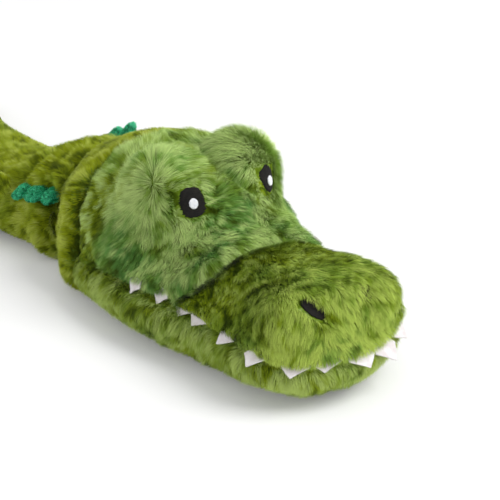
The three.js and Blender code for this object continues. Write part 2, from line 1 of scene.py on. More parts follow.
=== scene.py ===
"""Looks of a stuffed plush alligator dog toy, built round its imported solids.

Sizes are millimetres and degrees, and MM turns a length into metres where a mesh is made. Places
on the head are given as (to the toy's right, ahead of the neck pivot, up), and on every other
form as (to the toy's left, towards the end of the form, up).
"""

import logging
import math
from dataclasses import dataclass, field, replace
from enum import Enum
from typing import Callable

import bmesh
import bpy
import numpy as np
from bpy.types import ID, Material, Mesh, Node, NodeSocket, NodeTree, Object
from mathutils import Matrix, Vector


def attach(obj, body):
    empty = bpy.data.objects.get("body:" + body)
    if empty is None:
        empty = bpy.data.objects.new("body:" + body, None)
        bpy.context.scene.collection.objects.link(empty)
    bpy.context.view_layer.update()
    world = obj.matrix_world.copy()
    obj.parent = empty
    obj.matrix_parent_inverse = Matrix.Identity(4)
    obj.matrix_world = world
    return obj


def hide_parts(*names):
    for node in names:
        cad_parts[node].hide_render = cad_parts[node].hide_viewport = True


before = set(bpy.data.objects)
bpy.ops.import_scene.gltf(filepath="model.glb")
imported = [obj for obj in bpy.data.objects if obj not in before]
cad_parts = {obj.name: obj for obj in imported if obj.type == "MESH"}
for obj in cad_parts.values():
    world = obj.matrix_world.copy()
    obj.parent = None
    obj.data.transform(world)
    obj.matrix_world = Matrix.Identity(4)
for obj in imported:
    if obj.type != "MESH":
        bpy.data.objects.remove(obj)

MM = 0.001
LOG = logging.getLogger("plush_alligator")
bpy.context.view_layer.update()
MOST_TRIANGLES = 190_000
FLOOR_CLEARANCE = 0.2
TIMES_RELAXED = 4
UP = np.array([0.0, 0.0, 1.0])
Array = np.ndarray
Spot = tuple[float, float, float]
Rgba = tuple[float, float, float, float]


class Stored(Enum):
    """Names under which a fibre's facts are kept on its mesh for the shaders."""

    ROOT = "fibre_root"
    ALONG = "fibre_along"
    TONE = "fibre_tone"
    TINT = "fibre_tint"


class Slot(Enum):
    """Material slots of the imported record."""

    PLUSH = "plush"
    JAW = "jaw_plush"
    FELT = "felt"
    SCUTE = "scute_plush"
    BLACK = "black_thread"
    WHITE = "white_thread"


# Numbers over many points


def unit(vectors: Array) -> Array:
    """Gives rows of length one."""
    return vectors / np.maximum(np.linalg.norm(vectors, axis=-1, keepdims=True), 1e-9)


def along_surface(vectors: Array, normals: Array) -> Array:
    """Gives the direction of each vector within the surface, as rows of length one."""
    return unit(vectors - (vectors * normals).sum(1, keepdims=True) * normals)


def ease(low: float, high: float, value: Array) -> Array:
    """Gives 0 below low, 1 above high and a smooth step between."""
    t = np.clip((value - low) / (high - low), 0, 1)
    return t * t * (3 - 2 * t)


def ridge(distance: Array, width: float) -> Array:
    """Gives a soft bump, 1 on a line and fading over width from it."""
    return np.exp(-((distance / width) ** 2))


def scrambled(cells: Array, seed: int) -> Array:
    """Gives a fixed random value from 0 to 1 for each row of whole numbers.

    Args:
        cells: Lattice cells, one row each.
        seed: Which set of values to give.

    Returns:
        One value for each row.
    """
    mixed = cells @ np.array([73856093, 19349663, 83492791]) + seed * 7919
    mixed ^= mixed >> 13
    mixed = mixed * 1274126177 & 0x7FFFFFFFFFFF
    mixed ^= mixed >> 17
    mixed = mixed * 668265263 & 0x7FFFFFFFFFFF
    mixed ^= mixed >> 15
    return (mixed & 0xFFFFF) / 0xFFFFF


def waviness(points: Array, cell: float, seed: int) -> Array:
    """Gives smooth random values from -1 to 1 over space.

    Args:
        points: Places to read.
        cell: Distance between one swell and the next.
        seed: Which field to read.

    Returns:
        One value for each place.
    """
    scaled = points / cell
    base = np.floor(scaled).astype(np.int64)
    t = scaled - base
    t = t * t * (3 - 2 * t)
    total = np.zeros(len(points))
    for corner in range(8):
        step = np.array([corner & 1, corner >> 1 & 1, corner >> 2 & 1])
        share = np.prod(np.where(step, t, 1 - t), axis=1)
        total += share * (scrambled(base + step, seed) * 2 - 1)
    return total


def wander(points: Array, cell: float, seed: int) -> Array:
    """Gives smooth random vectors over space, each part from -1 to 1."""
    return np.stack([waviness(points, cell, seed + n) for n in range(3)], axis=1)


def tuft_centres(points: Array, cell: float, seed: int) -> tuple[Array, Array]:
    """Finds the tuft that each fibre gathers to.

    Args:
        points: Fibre roots.
        cell: Distance between tufts.
        seed: Which layout of tufts.

    Returns:
        The nearest tuft centre for each root, and a random value from 0 to 1 that a tuft shares.
    """
    scaled = points / cell
    base = np.floor(scaled).astype(np.int64)
    best = np.full(len(points), np.inf)
    centre, shared = np.zeros_like(scaled), np.zeros(len(points))
    for n in range(27):
        cells = base + np.array([n % 3 - 1, n // 3 % 3 - 1, n // 9 - 1])
        jitter = np.stack([scrambled(cells, seed + axis) for axis in range(3)], axis=1)
        place = cells + jitter
        gap = ((place - scaled) ** 2).sum(1)
        nearer = gap < best
        best[nearer], centre[nearer] = gap[nearer], place[nearer]
        shared[nearer] = scrambled(cells[nearer], seed + 5)
    return centre * cell, shared


def reach_to(points: Array, line: tuple[Spot, ...]) -> Array:
    """Gives each point's distance from a line of joined stretches.

    Args:
        points: Places to measure from.
        line: Where the stretches meet and end, in order.

    Returns:
        One distance for each point.
    """
    best = np.full(len(points), np.inf)
    stops = np.array(line, float)
    for start, end in zip(stops[:-1], stops[1:]):
        run = end - start
        t = np.clip((points - start) @ run / (run @ run), 0, 1)
        best = np.minimum(best, np.linalg.norm(points - start - t[:, None] * run, axis=1))
    return best


def folded(points: Array) -> Array:
    """Gives points with the second side of a form laid over the first."""
    return np.concatenate([np.abs(points[:, :1]), points[:, 1:]], axis=1)


@dataclass(frozen=True)
class Region:
    """A part of a form with soft edges: how much is done in its middle, where, and how far."""

    amount: float
    place: Spot
    size: Spot


def over_regions(points: Array, regions: tuple[Region, ...]) -> Array:
    """Adds up, for each point, what some regions do there.

    Args:
        points: Places to read.
        regions: The regions, in the same frame.

    Returns:
        One amount for each point.
    """
    total = np.zeros(len(points))
    for region in regions:
        away = (points - np.array(region.place)) / np.array(region.size)
        total += region.amount * ridge(np.linalg.norm(away, axis=1), 1.0)
    return total


# Frames and meshes


@dataclass(frozen=True)
class Placement:
    """Where one stuffed form pivots on the toy, and which way it runs."""

    pivot: tuple[float, float]
    heading: float

    @property
    def axes(self) -> Array:
        """Rows that are the form's side, ahead and up directions on the toy."""
        turn = math.radians(self.heading)
        ahead = np.array([math.cos(turn), math.sin(turn), 0.0])
        return np.stack([np.cross(ahead, UP), ahead, UP])

    def local(self, points: Array) -> Array:
        """Gives points of the toy in the form's own frame."""
        return (points - np.array([*self.pivot, 0.0])) @ self.axes.T

    def turned(self, vectors: Array) -> Array:
        """Gives directions of the toy in the form's own frame."""
        return vectors @ self.axes.T

    def outward(self, vectors: Array) -> Array:
        """Gives directions of the form's own frame on the toy."""
        return vectors @ self.axes


UNTURNED = Placement((0, 0), 90)


def linked(name: str, data: ID) -> Object:
    """Puts a new object in the scene.

    Args:
        name: Its name.
        data: Its mesh, lamp or camera.

    Returns:
        The object.
    """
    item = bpy.data.objects.new(name, data)
    bpy.context.scene.collection.objects.link(item)
    return item


def placed(name: str, mesh: Mesh, material: Material) -> Object:
    """Puts a mesh in the scene as a piece with one material.

    Args:
        name: Name of the piece.
        mesh: Its mesh.
        material: Its finish.

    Returns:
        The piece.
    """
    mesh.materials.clear()
    mesh.materials.append(material)
    return linked(name, mesh)


def mesh_of(name: str, shape: bmesh.types.BMesh) -> Mesh:
    """Makes a mesh of a finished shape, which is then let go.

    Args:
        name: Name of the mesh.
        shape: The shape.

    Returns:
        The mesh.
    """
    mesh = bpy.data.meshes.new(name)
    shape.to_mesh(mesh)
    shape.free()
    return mesh


def cad_points(node: str) -> Array:
    """Gives the vertices of a CAD solid in millimetres."""
    return np.array([vertex.co[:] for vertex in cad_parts[node].data.vertices]) / MM


def facets(name: str, points: Array, corners: Array, sizes: Array) -> Mesh:
    """Makes a mesh from arrays.

    Args:
        name: Name of the mesh.
        points: Vertex places in millimetres.
        corners: Vertex numbers of every face, one face after the other.
        sizes: Corner count of each face.

    Returns:
        The new mesh.
    """
    mesh = bpy.data.meshes.new(name)
    mesh.vertices.add(len(points))
    mesh.vertices.foreach_set("co", (points * MM).astype(np.float32).ravel())
    mesh.loops.add(len(corners))
    mesh.loops.foreach_set("vertex_index", corners.astype(np.int32))
    mesh.polygons.add(len(sizes))
    starts = np.concatenate([[0], np.cumsum(sizes)[:-1]])
    mesh.polygons.foreach_set("loop_start", starts.astype(np.int32))
    mesh.update(calc_edges=True)
    return mesh


def from_faces(name: str, points: Array, faces: list[list[int]]) -> Mesh:
    """Makes a mesh from faces that are each a list of vertex numbers."""
    return facets(name, points, np.concatenate(faces), np.array([len(face) for face in faces]))


def ball(segments: int, rings: int) -> tuple[Array, list[list[int]]]:
    """Makes a ball of radius 1, with its faces in the same order on each run.

    Args:
        segments: Faces round its axis.
        rings: Faces from pole to pole.

    Returns:
        Its points, and the vertex numbers of each face.
    """
    down = np.repeat(np.linspace(0, math.pi, rings + 1)[1:-1], segments)
    turn = np.tile(np.linspace(0, 2 * math.pi, segments, endpoint=False), rings - 1)
    sides = np.stack([np.sin(down) * np.cos(turn), np.sin(down) * np.sin(turn), np.cos(down)], axis=1)
    faces = []
    last = 1 + (rings - 2) * segments
    for here in range(segments):
        beside = (here + 1) % segments
        faces.append([0, 1 + here, 1 + beside])
        for ring in range(1, last, segments):
            below = ring + segments
            faces.append([ring + here, below + here, below + beside, ring + beside])
        faces.append([last + here, len(sides) + 1, last + beside])
    return np.concatenate([[UP], sides, [-UP]]), faces


def largest_island(mesh: Mesh) -> None:
    """Deletes everything but the biggest connected surface of a mesh.

    Args:
        mesh: The mesh to change.
    """
    shape = bmesh.new()
    shape.from_mesh(mesh)
    unseen, islands = set(shape.verts), []
    while unseen:
        edge_of_search, island = [unseen.pop()], []
        while edge_of_search:
            vert = edge_of_search.pop()
            island.append(vert)
            for edge in vert.link_edges:
                other = edge.other_vert(vert)
                if other in unseen:
                    unseen.remove(other)
                    edge_of_search.append(other)
        islands.append(island)
    islands.sort(key=len)
    for island in islands[:-1]:
        bmesh.ops.delete(shape, geom=island, context="VERTS")
    shape.to_mesh(mesh)
    shape.free()


@dataclass
class Skin:
    """The sewn cloth of one stuffed form, which its pile grows from."""

    mesh: Mesh
    points: Array = field(init=False)
    normals: Array = field(init=False)

    def __post_init__(self) -> None:
        """Reads the mesh that the skin is made with."""
        self.read()

    @classmethod
    def over(cls, name: str, nodes: tuple[str, ...], voxel: float) -> "Skin":
        """Draws one closed, even cloth over some CAD solids.

        Args:
            name: Name of the mesh.
            nodes: CAD nodes that fill the form.
            voxel: Length of a quad's side before the cloth is divided once.

        Returns:
            The skin, at the solids' own surface.
        """
        joined = bmesh.new()
        for node in nodes:
            joined.from_mesh(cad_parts[node].data)
        form = linked(name + "_form", mesh_of(name + "_solid", joined))
        even = form.modifiers.new("even_quads", "REMESH")
        even.mode, even.voxel_size = "VOXEL", voxel * MM
        relaxed = form.modifiers.new("relaxed", "SMOOTH")
        relaxed.factor, relaxed.iterations = 0.5, TIMES_RELAXED
        form.modifiers.new("divided", "SUBSURF").levels = 1
        seen = form.evaluated_get(bpy.context.evaluated_depsgraph_get())
        mesh = bpy.data.meshes.new_from_object(seen)
        mesh.name = name
        bpy.data.objects.remove(form)
        largest_island(mesh)
        return cls(mesh)

    def read(self) -> None:
        """Takes vertex places and normals from the mesh."""
        count = len(self.mesh.vertices)
        values = np.empty(count * 3, np.float32)
        self.mesh.vertices.foreach_get("co", values)
        self.points = values.reshape(-1, 3).astype(float) / MM
        self.mesh.vertices.foreach_get("normal", values)
        self.normals = values.reshape(-1, 3).astype(float)

    def shift(self, moves: Array) -> None:
        """Moves the cloth's points and keeps them above the floor.

        Args:
            moves: A vector for each vertex, in millimetres.
        """
        points = self.points + moves
        points[:, 2] = np.maximum(points[:, 2], FLOOR_CLEARANCE)
        self.mesh.vertices.foreach_set("co", (points * MM).astype(np.float32).ravel())
        self.mesh.update()
        self.read()

    def swell(self, amounts: Array) -> None:
        """Moves each point along its normal by its own amount."""
        self.shift(self.normals * amounts[:, None])

    def triangles(self) -> Array:
        """Gives the vertex numbers of the cloth's triangles."""
        self.mesh.calc_loop_triangles()
        values = np.empty(len(self.mesh.loop_triangles) * 3, np.int32)
        self.mesh.loop_triangles.foreach_get("vertices", values)
        return values.reshape(-1, 3)


# Pile


EDDY, EDDY_TUFTS = 0.35, 2.2  # small turns of the pile, and their size in tufts
SWIRL_SIZE = 15.0  # of the turns that handling leaves
TUFT_VEER, TUFT_LEAN, TUFT_LENGTH = 1.4, 9, 0.18  # what the fibres of a tuft share
LEAN_SCATTER, TWIST_SCATTER = 6, 32  # degrees
SHORTEST, LONGEST = 0.74, 1.1
EARLY_BEND = 0.45  # of a fibre's lean, at its middle
UPRIGHT, FLATTEST = 4, 84  # degrees of lean
TAPER, THINNEST, THICKEST = 2.2, 0.7, 1.3  # how late a fibre narrows, and its width among others
ROUNDNESS = 0.35
TUFT_TONE, FIBRE_TONE = 0.2, 0.07
MARGIN_ACROSS, MARGIN_ALONG = 0.08, 0.05  # of a fibre's cell in the map


@dataclass(frozen=True)
class Pile:
    """How the fibres of one plush fabric stand, when nothing else bends them."""

    length: float
    density: float
    width: float
    lean: float
    spread: float = 5.0
    tuft: float = 4.0
    gather: float = 0.13
    swirl: float = 0.5
    sections: int = 4
    softness: float = 0.86


@dataclass
class Coat:
    """What a form asks of its pile at each root: arrays with one row for each root."""

    keep: Array
    length: Array
    flow: Array
    lean: Array
    tone: Array
    tint: Array

    @classmethod
    def plain(cls, count: int, pile: Pile) -> "Coat":
        """Gives an even coat of that pile.

        Args:
            count: How many roots there are.
            pile: The fabric's own habits.

        Returns:
            The coat.
        """
        return cls(
            np.ones(count),
            np.full(count, pile.length),
            np.zeros((count, 3)),
            np.full(count, pile.lean),
            np.full(count, 0.5),
            np.full(count, 0.5),
        )

    def kept(self, chosen: Array) -> "Coat":
        """Gives the coat of the chosen roots only."""
        values = (self.keep, self.length, self.flow, self.lean, self.tone, self.tint)
        return Coat(*(value[chosen] for value in values))


Comb = Callable[[Array, Array, Pile], Coat]


@dataclass
class PileMaker:
    """Grows thin tapered blades on a skin, with the same draws on each run."""

    skin: Skin
    place: Placement
    seed: int

    def roots(self, density: float, rng: np.random.Generator) -> tuple[Array, Array]:
        """Scatters fibre roots evenly over the skin.

        Args:
            density: Roots on a square millimetre.
            rng: Source of the draws.

        Returns:
            Root places and the skin's normals there.
        """
        corners = self.skin.triangles()
        a, b, c = (self.skin.points[corners[:, n]] for n in range(3))
        area = np.linalg.norm(np.cross(b - a, c - a), axis=1) / 2
        count = int(area.sum() * density)
        chosen = np.searchsorted(np.cumsum(area) / area.sum(), rng.random(count))
        chosen = np.minimum(chosen, len(area) - 1)
        u, v = rng.random(count), rng.random(count)
        over = u + v > 1
        u[over], v[over] = 1 - u[over], 1 - v[over]
        weights = np.stack([1 - u - v, u, v], axis=1)[:, :, None]
        faces = corners[chosen]
        spots = (self.skin.points[faces] * weights).sum(1)
        return spots, unit((self.skin.normals[faces] * weights).sum(1))

    def blades(
        self, spots: Array, normals: Array, coat: Coat, pile: Pile, rng: np.random.Generator
    ) -> tuple[Array, Array, Array]:
        """Bends every fibre along its flow and gathers it to its tuft.

        Args:
            spots: Fibre roots.
            normals: The skin's normals at the roots.
            coat: What the form asks at each root.
            pile: The fabric's own habits.
            rng: Source of the draws.

        Returns:
            The middle line of each fibre, the direction of its flat width at each step, and the
            value that its tuft shares.
        """
        count = len(spots)
        centres, shared = tuft_centres(spots, pile.tuft, self.seed)
        eddies = wander(spots, pile.tuft * EDDY_TUFTS, self.seed + 11) * EDDY
        eddies += wander(spots, SWIRL_SIZE, self.seed + 31) * pile.swirl
        flow = along_surface(coat.flow + eddies, normals)
        side = np.cross(normals, flow)
        veer = np.radians(rng.normal(0, pile.spread, count) + (shared - 0.5) * pile.spread * TUFT_VEER)
        flow = flow * np.cos(veer)[:, None] + side * np.sin(veer)[:, None]
        lean = coat.lean + rng.normal(0, LEAN_SCATTER, count) + (scrambled_share(shared) - 0.5) * TUFT_LEAN
        lean = np.radians(np.clip(lean, UPRIGHT, FLATTEST))
        length = coat.length * (1 + (shared - 0.5) * TUFT_LENGTH) * rng.uniform(SHORTEST, LONGEST, count)
        rise, run = np.cos(lean), np.sin(lean)
        tip = (normals * rise[:, None] + flow * run[:, None]) * length[:, None]
        bend = normals * np.cos(lean * EARLY_BEND)[:, None] + flow * np.sin(lean * EARLY_BEND)[:, None]
        bend = bend * (length * 0.5)[:, None]
        pull = centres - spots
        pull -= (pull * normals).sum(1, keepdims=True) * normals
        pull *= pile.gather * np.minimum(1, coat.length / pile.length)[:, None]
        steps = np.linspace(0, 1, pile.sections)[None, :, None]
        line = (
            spots[:, None]
            + 2 * steps * (1 - steps) * (bend + pull * 0.2)[:, None]
            + steps**2 * (tip + pull)[:, None]
        )
        line[:, 1:, 2] = np.maximum(line[:, 1:, 2], FLOOR_CLEARANCE)
        heading = unit(np.gradient(line, axis=1))
        flat = unit(np.cross(heading, normals[:, None]) + 1e-6)
        edge = np.cross(heading, flat)
        roll = np.radians(rng.normal(0, TWIST_SCATTER, count))[:, None, None]
        return line, flat * np.cos(roll) + edge * np.sin(roll), shared

    def grow(
        self, name: str, comb: Comb, pile: Pile, material: Material, body: str
    ) -> list[Object]:
        """Grows one fabric's pile and hangs it on its CAD body.

        Args:
            name: Name of the pieces, to which a number is added.
            comb: Gives the coat at some places, in the form's own frame.
            pile: The fabric's own habits.
            material: The finish of the fibres.
            body: CAD body that the pile moves with.

        Returns:
            The new pieces.
        """
        rng = np.random.default_rng(self.seed)
        spots, normals = self.roots(pile.density, rng)
        coat = comb(self.place.local(spots), self.place.turned(normals), pile)
        chosen = rng.random(len(spots)) < coat.keep
        spots, normals, coat = spots[chosen], normals[chosen], coat.kept(chosen)
        coat.flow = self.place.outward(coat.flow)
        faces_each = 2 * (pile.sections - 2) + 1
        most = MOST_TRIANGLES // faces_each
        order = np.argsort(self.place.local(spots)[:, 1], kind="stable")
        pieces = []
        for number, part in enumerate(np.array_split(order, max(1, -(-len(order) // most))), 1):
            part_of = (spots[part], normals[part], coat.kept(part))
            piece = self.piece(f"{name}_{number}", *part_of, pile, rng, material)
            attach(piece, body)
            pieces.append(piece)
        LOG.info("%s: %d fibres in %d pieces", name, len(spots), len(pieces))
        return pieces

    def piece(
        self,
        name: str,
        spots: Array,
        normals: Array,
        coat: Coat,
        pile: Pile,
        rng: np.random.Generator,
        material: Material,
    ) -> Object:
        """Makes one mesh of blades, with the facts that its shader reads.

        Args:
            name: Name of the piece.
            spots: Fibre roots.
            normals: The skin's normals at the roots.
            coat: What the form asks at each root.
            pile: The fabric's own habits.
            rng: Source of the draws.
            material: The finish of the fibres.

        Returns:
            The new piece.
        """
        line, flat, shared = self.blades(spots, normals, coat, pile, rng)
        count, steps = line.shape[:2]
        taper = (1 - np.linspace(0, 1, steps) ** TAPER)[None, :, None] * pile.width / 2
        taper = taper * rng.uniform(THINNEST, THICKEST, count)[:, None, None]
        left, right = line - flat * taper, line + flat * taper
        points = np.concatenate(
            [np.stack([left[:, :-1], right[:, :-1]], axis=2).reshape(count, -1, 3), line[:, -1:]], axis=1
        )
        points[:, :, 2] = np.maximum(points[:, :, 2], FLOOR_CLEARANCE / 2)
        each = points.shape[1]
        quads = [[2 * n, 2 * n + 1, 2 * n + 3, 2 * n + 2] for n in range(steps - 2)]
        corners = np.array([number for quad in quads for number in quad] + [each - 3, each - 2, each - 1])
        sizes = np.array([4] * (steps - 2) + [3])
        all_corners = (corners[None] + (np.arange(count) * each)[:, None]).ravel()
        mesh = facets(name, points.reshape(-1, 3), all_corners, np.tile(sizes, count))
        self.round_off(mesh, line, flat, normals, pile)
        along = np.append(np.repeat(np.linspace(0, 1, steps)[:-1], 2), 1.0)
        tone = coat.tone + (shared - 0.5) * TUFT_TONE + rng.normal(0, FIBRE_TONE, count)
        tint = coat.tint + (scrambled_share(shared) - 0.5) * TUFT_TONE
        for key, values in (
            (Stored.ALONG, np.tile(along, count)),
            (Stored.TONE, np.repeat(tone, each)),
            (Stored.TINT, np.repeat(tint, each)),
        ):
            kept = mesh.attributes.new(key.value, "FLOAT", "POINT")
            kept.data.foreach_set("value", values.astype(np.float32))
        kept = mesh.attributes.new(Stored.ROOT.value, "FLOAT_VECTOR", "POINT")
        kept.data.foreach_set("vector", np.repeat(spots * MM, each, axis=0).astype(np.float32).ravel())
        self.lay_out(mesh, corners, count, steps)
        return placed(name, mesh, material)

    @staticmethod
    def round_off(mesh: Mesh, line: Array, flat: Array, normals: Array, pile: Pile) -> None:
        """Shades each flat blade as a round fibre that lies on a soft surface.

        Args:
            mesh: The blades.
            line: Middle lines of the fibres.
            flat: Direction of each fibre's width.
            normals: The skin's normals at the roots.
            pile: The fabric's own habits.
        """
        face = np.cross(unit(np.gradient(line, axis=1)), flat)
        facing = np.sign((face * normals[:, None]).sum(2, keepdims=True) + 1e-6)
        mid = face * facing * (1 - pile.softness) + normals[:, None] * pile.softness
        left, right = unit(mid - flat * ROUNDNESS), unit(mid + flat * ROUNDNESS)
        count = len(line)
        pairs = np.stack([left[:, :-1], right[:, :-1]], axis=2).reshape(count, -1, 3)
        values = np.concatenate([pairs, unit(mid[:, -1:])], axis=1).reshape(-1, 3)
        mesh.normals_split_custom_set_from_vertices(values.tolist())

    @staticmethod
    def lay_out(mesh: Mesh, corners: Array, count: int, steps: int) -> None:
        """Gives each fibre a cell of its own in the OFBake texture map.

        Args:
            mesh: The blades.
            corners: Vertex numbers of one fibre's faces.
            count: How many fibres there are.
            steps: Cross sections of a fibre.
        """
        columns = math.ceil(math.sqrt(count / 2))
        rows = -(-count // columns)
        across = np.append(np.tile([MARGIN_ACROSS, 1 - MARGIN_ACROSS], steps - 1), 0.5)
        stops = np.linspace(MARGIN_ALONG, 1 - MARGIN_ALONG, steps)
        along = np.append(np.repeat(stops[:-1], 2), stops[-1])
        cell = np.arange(count)
        u = (cell % columns)[:, None] + across[corners][None]
        v = (cell // columns)[:, None] + along[corners][None]
        layer = mesh.uv_layers.new(name="OFBake")
        values = np.stack([u / columns, v / rows], axis=2).astype(np.float32)
        layer.uv.foreach_set("vector", values.ravel())


def scrambled_share(shared: Array) -> Array:
    """Gives a second random value for each tuft, from its first."""
    return np.modf(shared * 57.13)[0]


# Finishes


def colour(red: int, green: int, blue: int) -> Rgba:
    """Gives a display colour as the linear colour that shaders take."""
    parts = (part / 255 for part in (red, green, blue))
    return (*(p / 12.92 if p <= 0.04045 else ((p + 0.055) / 1.055) ** 2.4 for p in parts), 1.0)


# Painted shade for pile down in seams and folds.
CREASE_SHADE_BLACK = colour(22, 30, 5)
WHITE = (1.0, 1.0, 1.0, 1.0)


class Nodes:
    """A short way to place and join shader nodes."""

    def __init__(self, tree: NodeTree) -> None:
        """Takes the tree that the nodes go in."""
        self.tree = tree

    def feed(self, node: Node, **inputs: object) -> None:
        """Gives inputs of a node their values.

        Args:
            node: The node.
            **inputs: Values or sockets, by name with _ for a blank, or by number after an i.
        """
        for key, value in inputs.items():
            where = int(key[1:]) if key[0] == "i" and key[1:].isdigit() else key.replace("_", " ")
            if isinstance(value, NodeSocket):
                self.tree.links.new(value, node.inputs[where])
            else:
                node.inputs[where].default_value = value

    def add(self, kind: str, settings: dict | None = None, **inputs: object) -> Node:
        """Places a node.

        Args:
            kind: Node type, without the ShaderNode that starts it.
            settings: Properties of the node.
            **inputs: What feed gives it.

        Returns:
            The node.
        """
        node = self.tree.nodes.new("ShaderNode" + kind)
        for key, value in (settings or {}).items():
            setattr(node, key, value)
        self.feed(node, **inputs)
        return node

    def group(self, name: str, **inputs: object) -> NodeSocket:
        """Places a shader group and gives its colour."""
        return self.add("Group", {"node_tree": bpy.data.node_groups[name]}, **inputs).outputs["Color"]

    def math(self, operation: str, first: object, second: object = 0.0, clamp: bool = False) -> NodeSocket:
        """Places a Math node and gives its result."""
        return self.add("Math", {"operation": operation, "use_clamp": clamp}, i0=first, i1=second).outputs[0]

    def scaled(self, vector: object, by: object) -> NodeSocket:
        """Places a node that scales a vector or a colour, and gives its result."""
        return self.add("VectorMath", {"operation": "SCALE"}, i0=vector, Scale=by).outputs[0]

    def stirred(self, value: object, noise: object, amount: float, clamp: bool = False) -> NodeSocket:
        """Moves a value up and down with a noise."""
        swing = self.math("MULTIPLY", self.math("SUBTRACT", noise, 0.5), amount)
        return self.math("ADD", value, swing, clamp)

    def seen_by(self, *rays: str) -> NodeSocket:
        """Gives 1 to rays of those kinds, and 0 to all others.

        Args:
            *rays: Outputs of Light Path.

        Returns:
            The value.
        """
        path = self.add("LightPath").outputs
        seen = path[rays[0]]
        for ray in rays[1:]:
            seen = self.math("MAXIMUM", seen, path[ray])
        return seen

    def mix(self, share: object, first: object, second: object, way: str = "MIX") -> NodeSocket:
        """Places a colour Mix node and gives its result."""
        settings = {"data_type": "RGBA", "blend_type": way}
        return self.add("Mix", settings, i0=share, i6=first, i7=second).outputs[2]

    def stored(self, key: Stored) -> Node:
        """Places a node that reads a fact kept on the mesh."""
        return self.add("Attribute", {"attribute_name": key.value})

    def noise(self, place: object, size: float, detail: float = 2.0, warp: float = 0.0) -> NodeSocket:
        """Places a noise whose blots are about that many millimetres, and gives its value."""
        inputs = {"Scale": 1 / (size * MM), "Detail": detail, "Distortion": warp}
        return self.add("TexNoise", None, Vector=place, **inputs).outputs[0]

    def spread(self, value: object, low: float, high: float) -> NodeSocket:
        """Stretches low to high over 0 to 1, and stops there."""
        settings = {"clamp": True, "interpolation_type": "SMOOTHSTEP"}
        return self.add("MapRange", settings, Value=value, i1=low, i2=high).outputs[0]


def shader_group(name: str, inputs: dict[str, str], outputs: dict[str, str]) -> NodeTree:
    """Starts a shader node group with named sockets.

    Args:
        name: Name of the group.
        inputs: Socket types by input name, without the NodeSocket that starts them.
        outputs: The same for outputs.

    Returns:
        The group, with a Group Input and a Group Output node in it.
    """
    group = bpy.data.node_groups.new(name, "ShaderNodeTree")
    for sockets, way in ((inputs, "INPUT"), (outputs, "OUTPUT")):
        for socket, kind in sockets.items():
            group.interface.new_socket(socket, in_out=way, socket_type="NodeSocket" + kind)
    group.nodes.new("NodeGroupInput")
    group.nodes.new("NodeGroupOutput")
    return group


def dyed_mottle() -> NodeTree:
    """Makes the group for plush whose dye went on in cloudy patches.

    Returns:
        The group. Tone lifts or sinks the colour round 0.5 and, as painted shade, turns it nearly black far
        below 0, for pile down in a seam or fold; tone also carries the forms' painted light and shade. Tint
        runs from olive to cool.
    """
    wanted = {"Place": "Vector", "Tone": "Float", "Tint": "Float", "Patch": "Float"}
    wanted |= {name: "Color" for name in ("Deep", "Olive", "Cool", "Bright")}
    group = shader_group("dyed_mottle", wanted, {"Color": "Color"})
    made = Nodes(group)
    given, out = group.nodes["Group Input"].outputs, group.nodes["Group Output"].inputs
    place = made.scaled(given["Place"], given["Patch"])
    broad = made.noise(place, 26, 2.0, 0.6)
    patches = made.noise(place, 9, 3.0, 1.2)
    flecks = made.noise(place, 3.2, 2.0, 0.5)
    tint = made.stirred(made.stirred(given["Tint"], broad, 1.8), patches, 1.1, True)
    tone = made.stirred(made.stirred(given["Tone"], patches, 2.8), flecks, 0.9, True)
    hue = made.mix(tint, given["Olive"], given["Cool"])
    low = made.mix(made.spread(tone, 0.5, 0.0), hue, given["Deep"])
    high = made.mix(made.spread(tone, 0.45, 1.0), low, given["Bright"])
    # Painted shade: pile whose tone is far below 0, down in a seam or fold, turns nearly black.
    crease_shade = made.math("MULTIPLY", made.spread(given["Tone"], 0.25, -0.3), 0.8)
    group.links.new(made.mix(crease_shade, high, CREASE_SHADE_BLACK), out["Color"])
    return group


def fibre_root_shade_and_tip() -> NodeTree:
    """Makes the group for a fibre darkened by painted shade towards its root, where other fibres hide it from
    the light, and pale at its tip.

    Returns:
        The group. Along runs from 0 at the root to 1 at the tip.
    """
    wanted = {"Color": "Color", "Along": "Float", "Root": "Float", "Tip": "Float"}
    group = shader_group("fibre_root_shade_and_tip", wanted, {"Color": "Color"})
    made = Nodes(group)
    given = group.nodes["Group Input"].outputs
    # Painted shade, deepest at the root of the fibre.
    root_shade = made.math("MULTIPLY", made.spread(given["Along"], 0.65, 0.0), given["Root"])
    pale = made.math("MULTIPLY", made.spread(given["Along"], 0.45, 1.0), given["Tip"])
    lift = made.math("ADD", made.math("SUBTRACT", 1.0, root_shade), pale)
    group.links.new(made.scaled(given["Color"], lift), group.nodes["Group Output"].inputs["Color"])
    return group


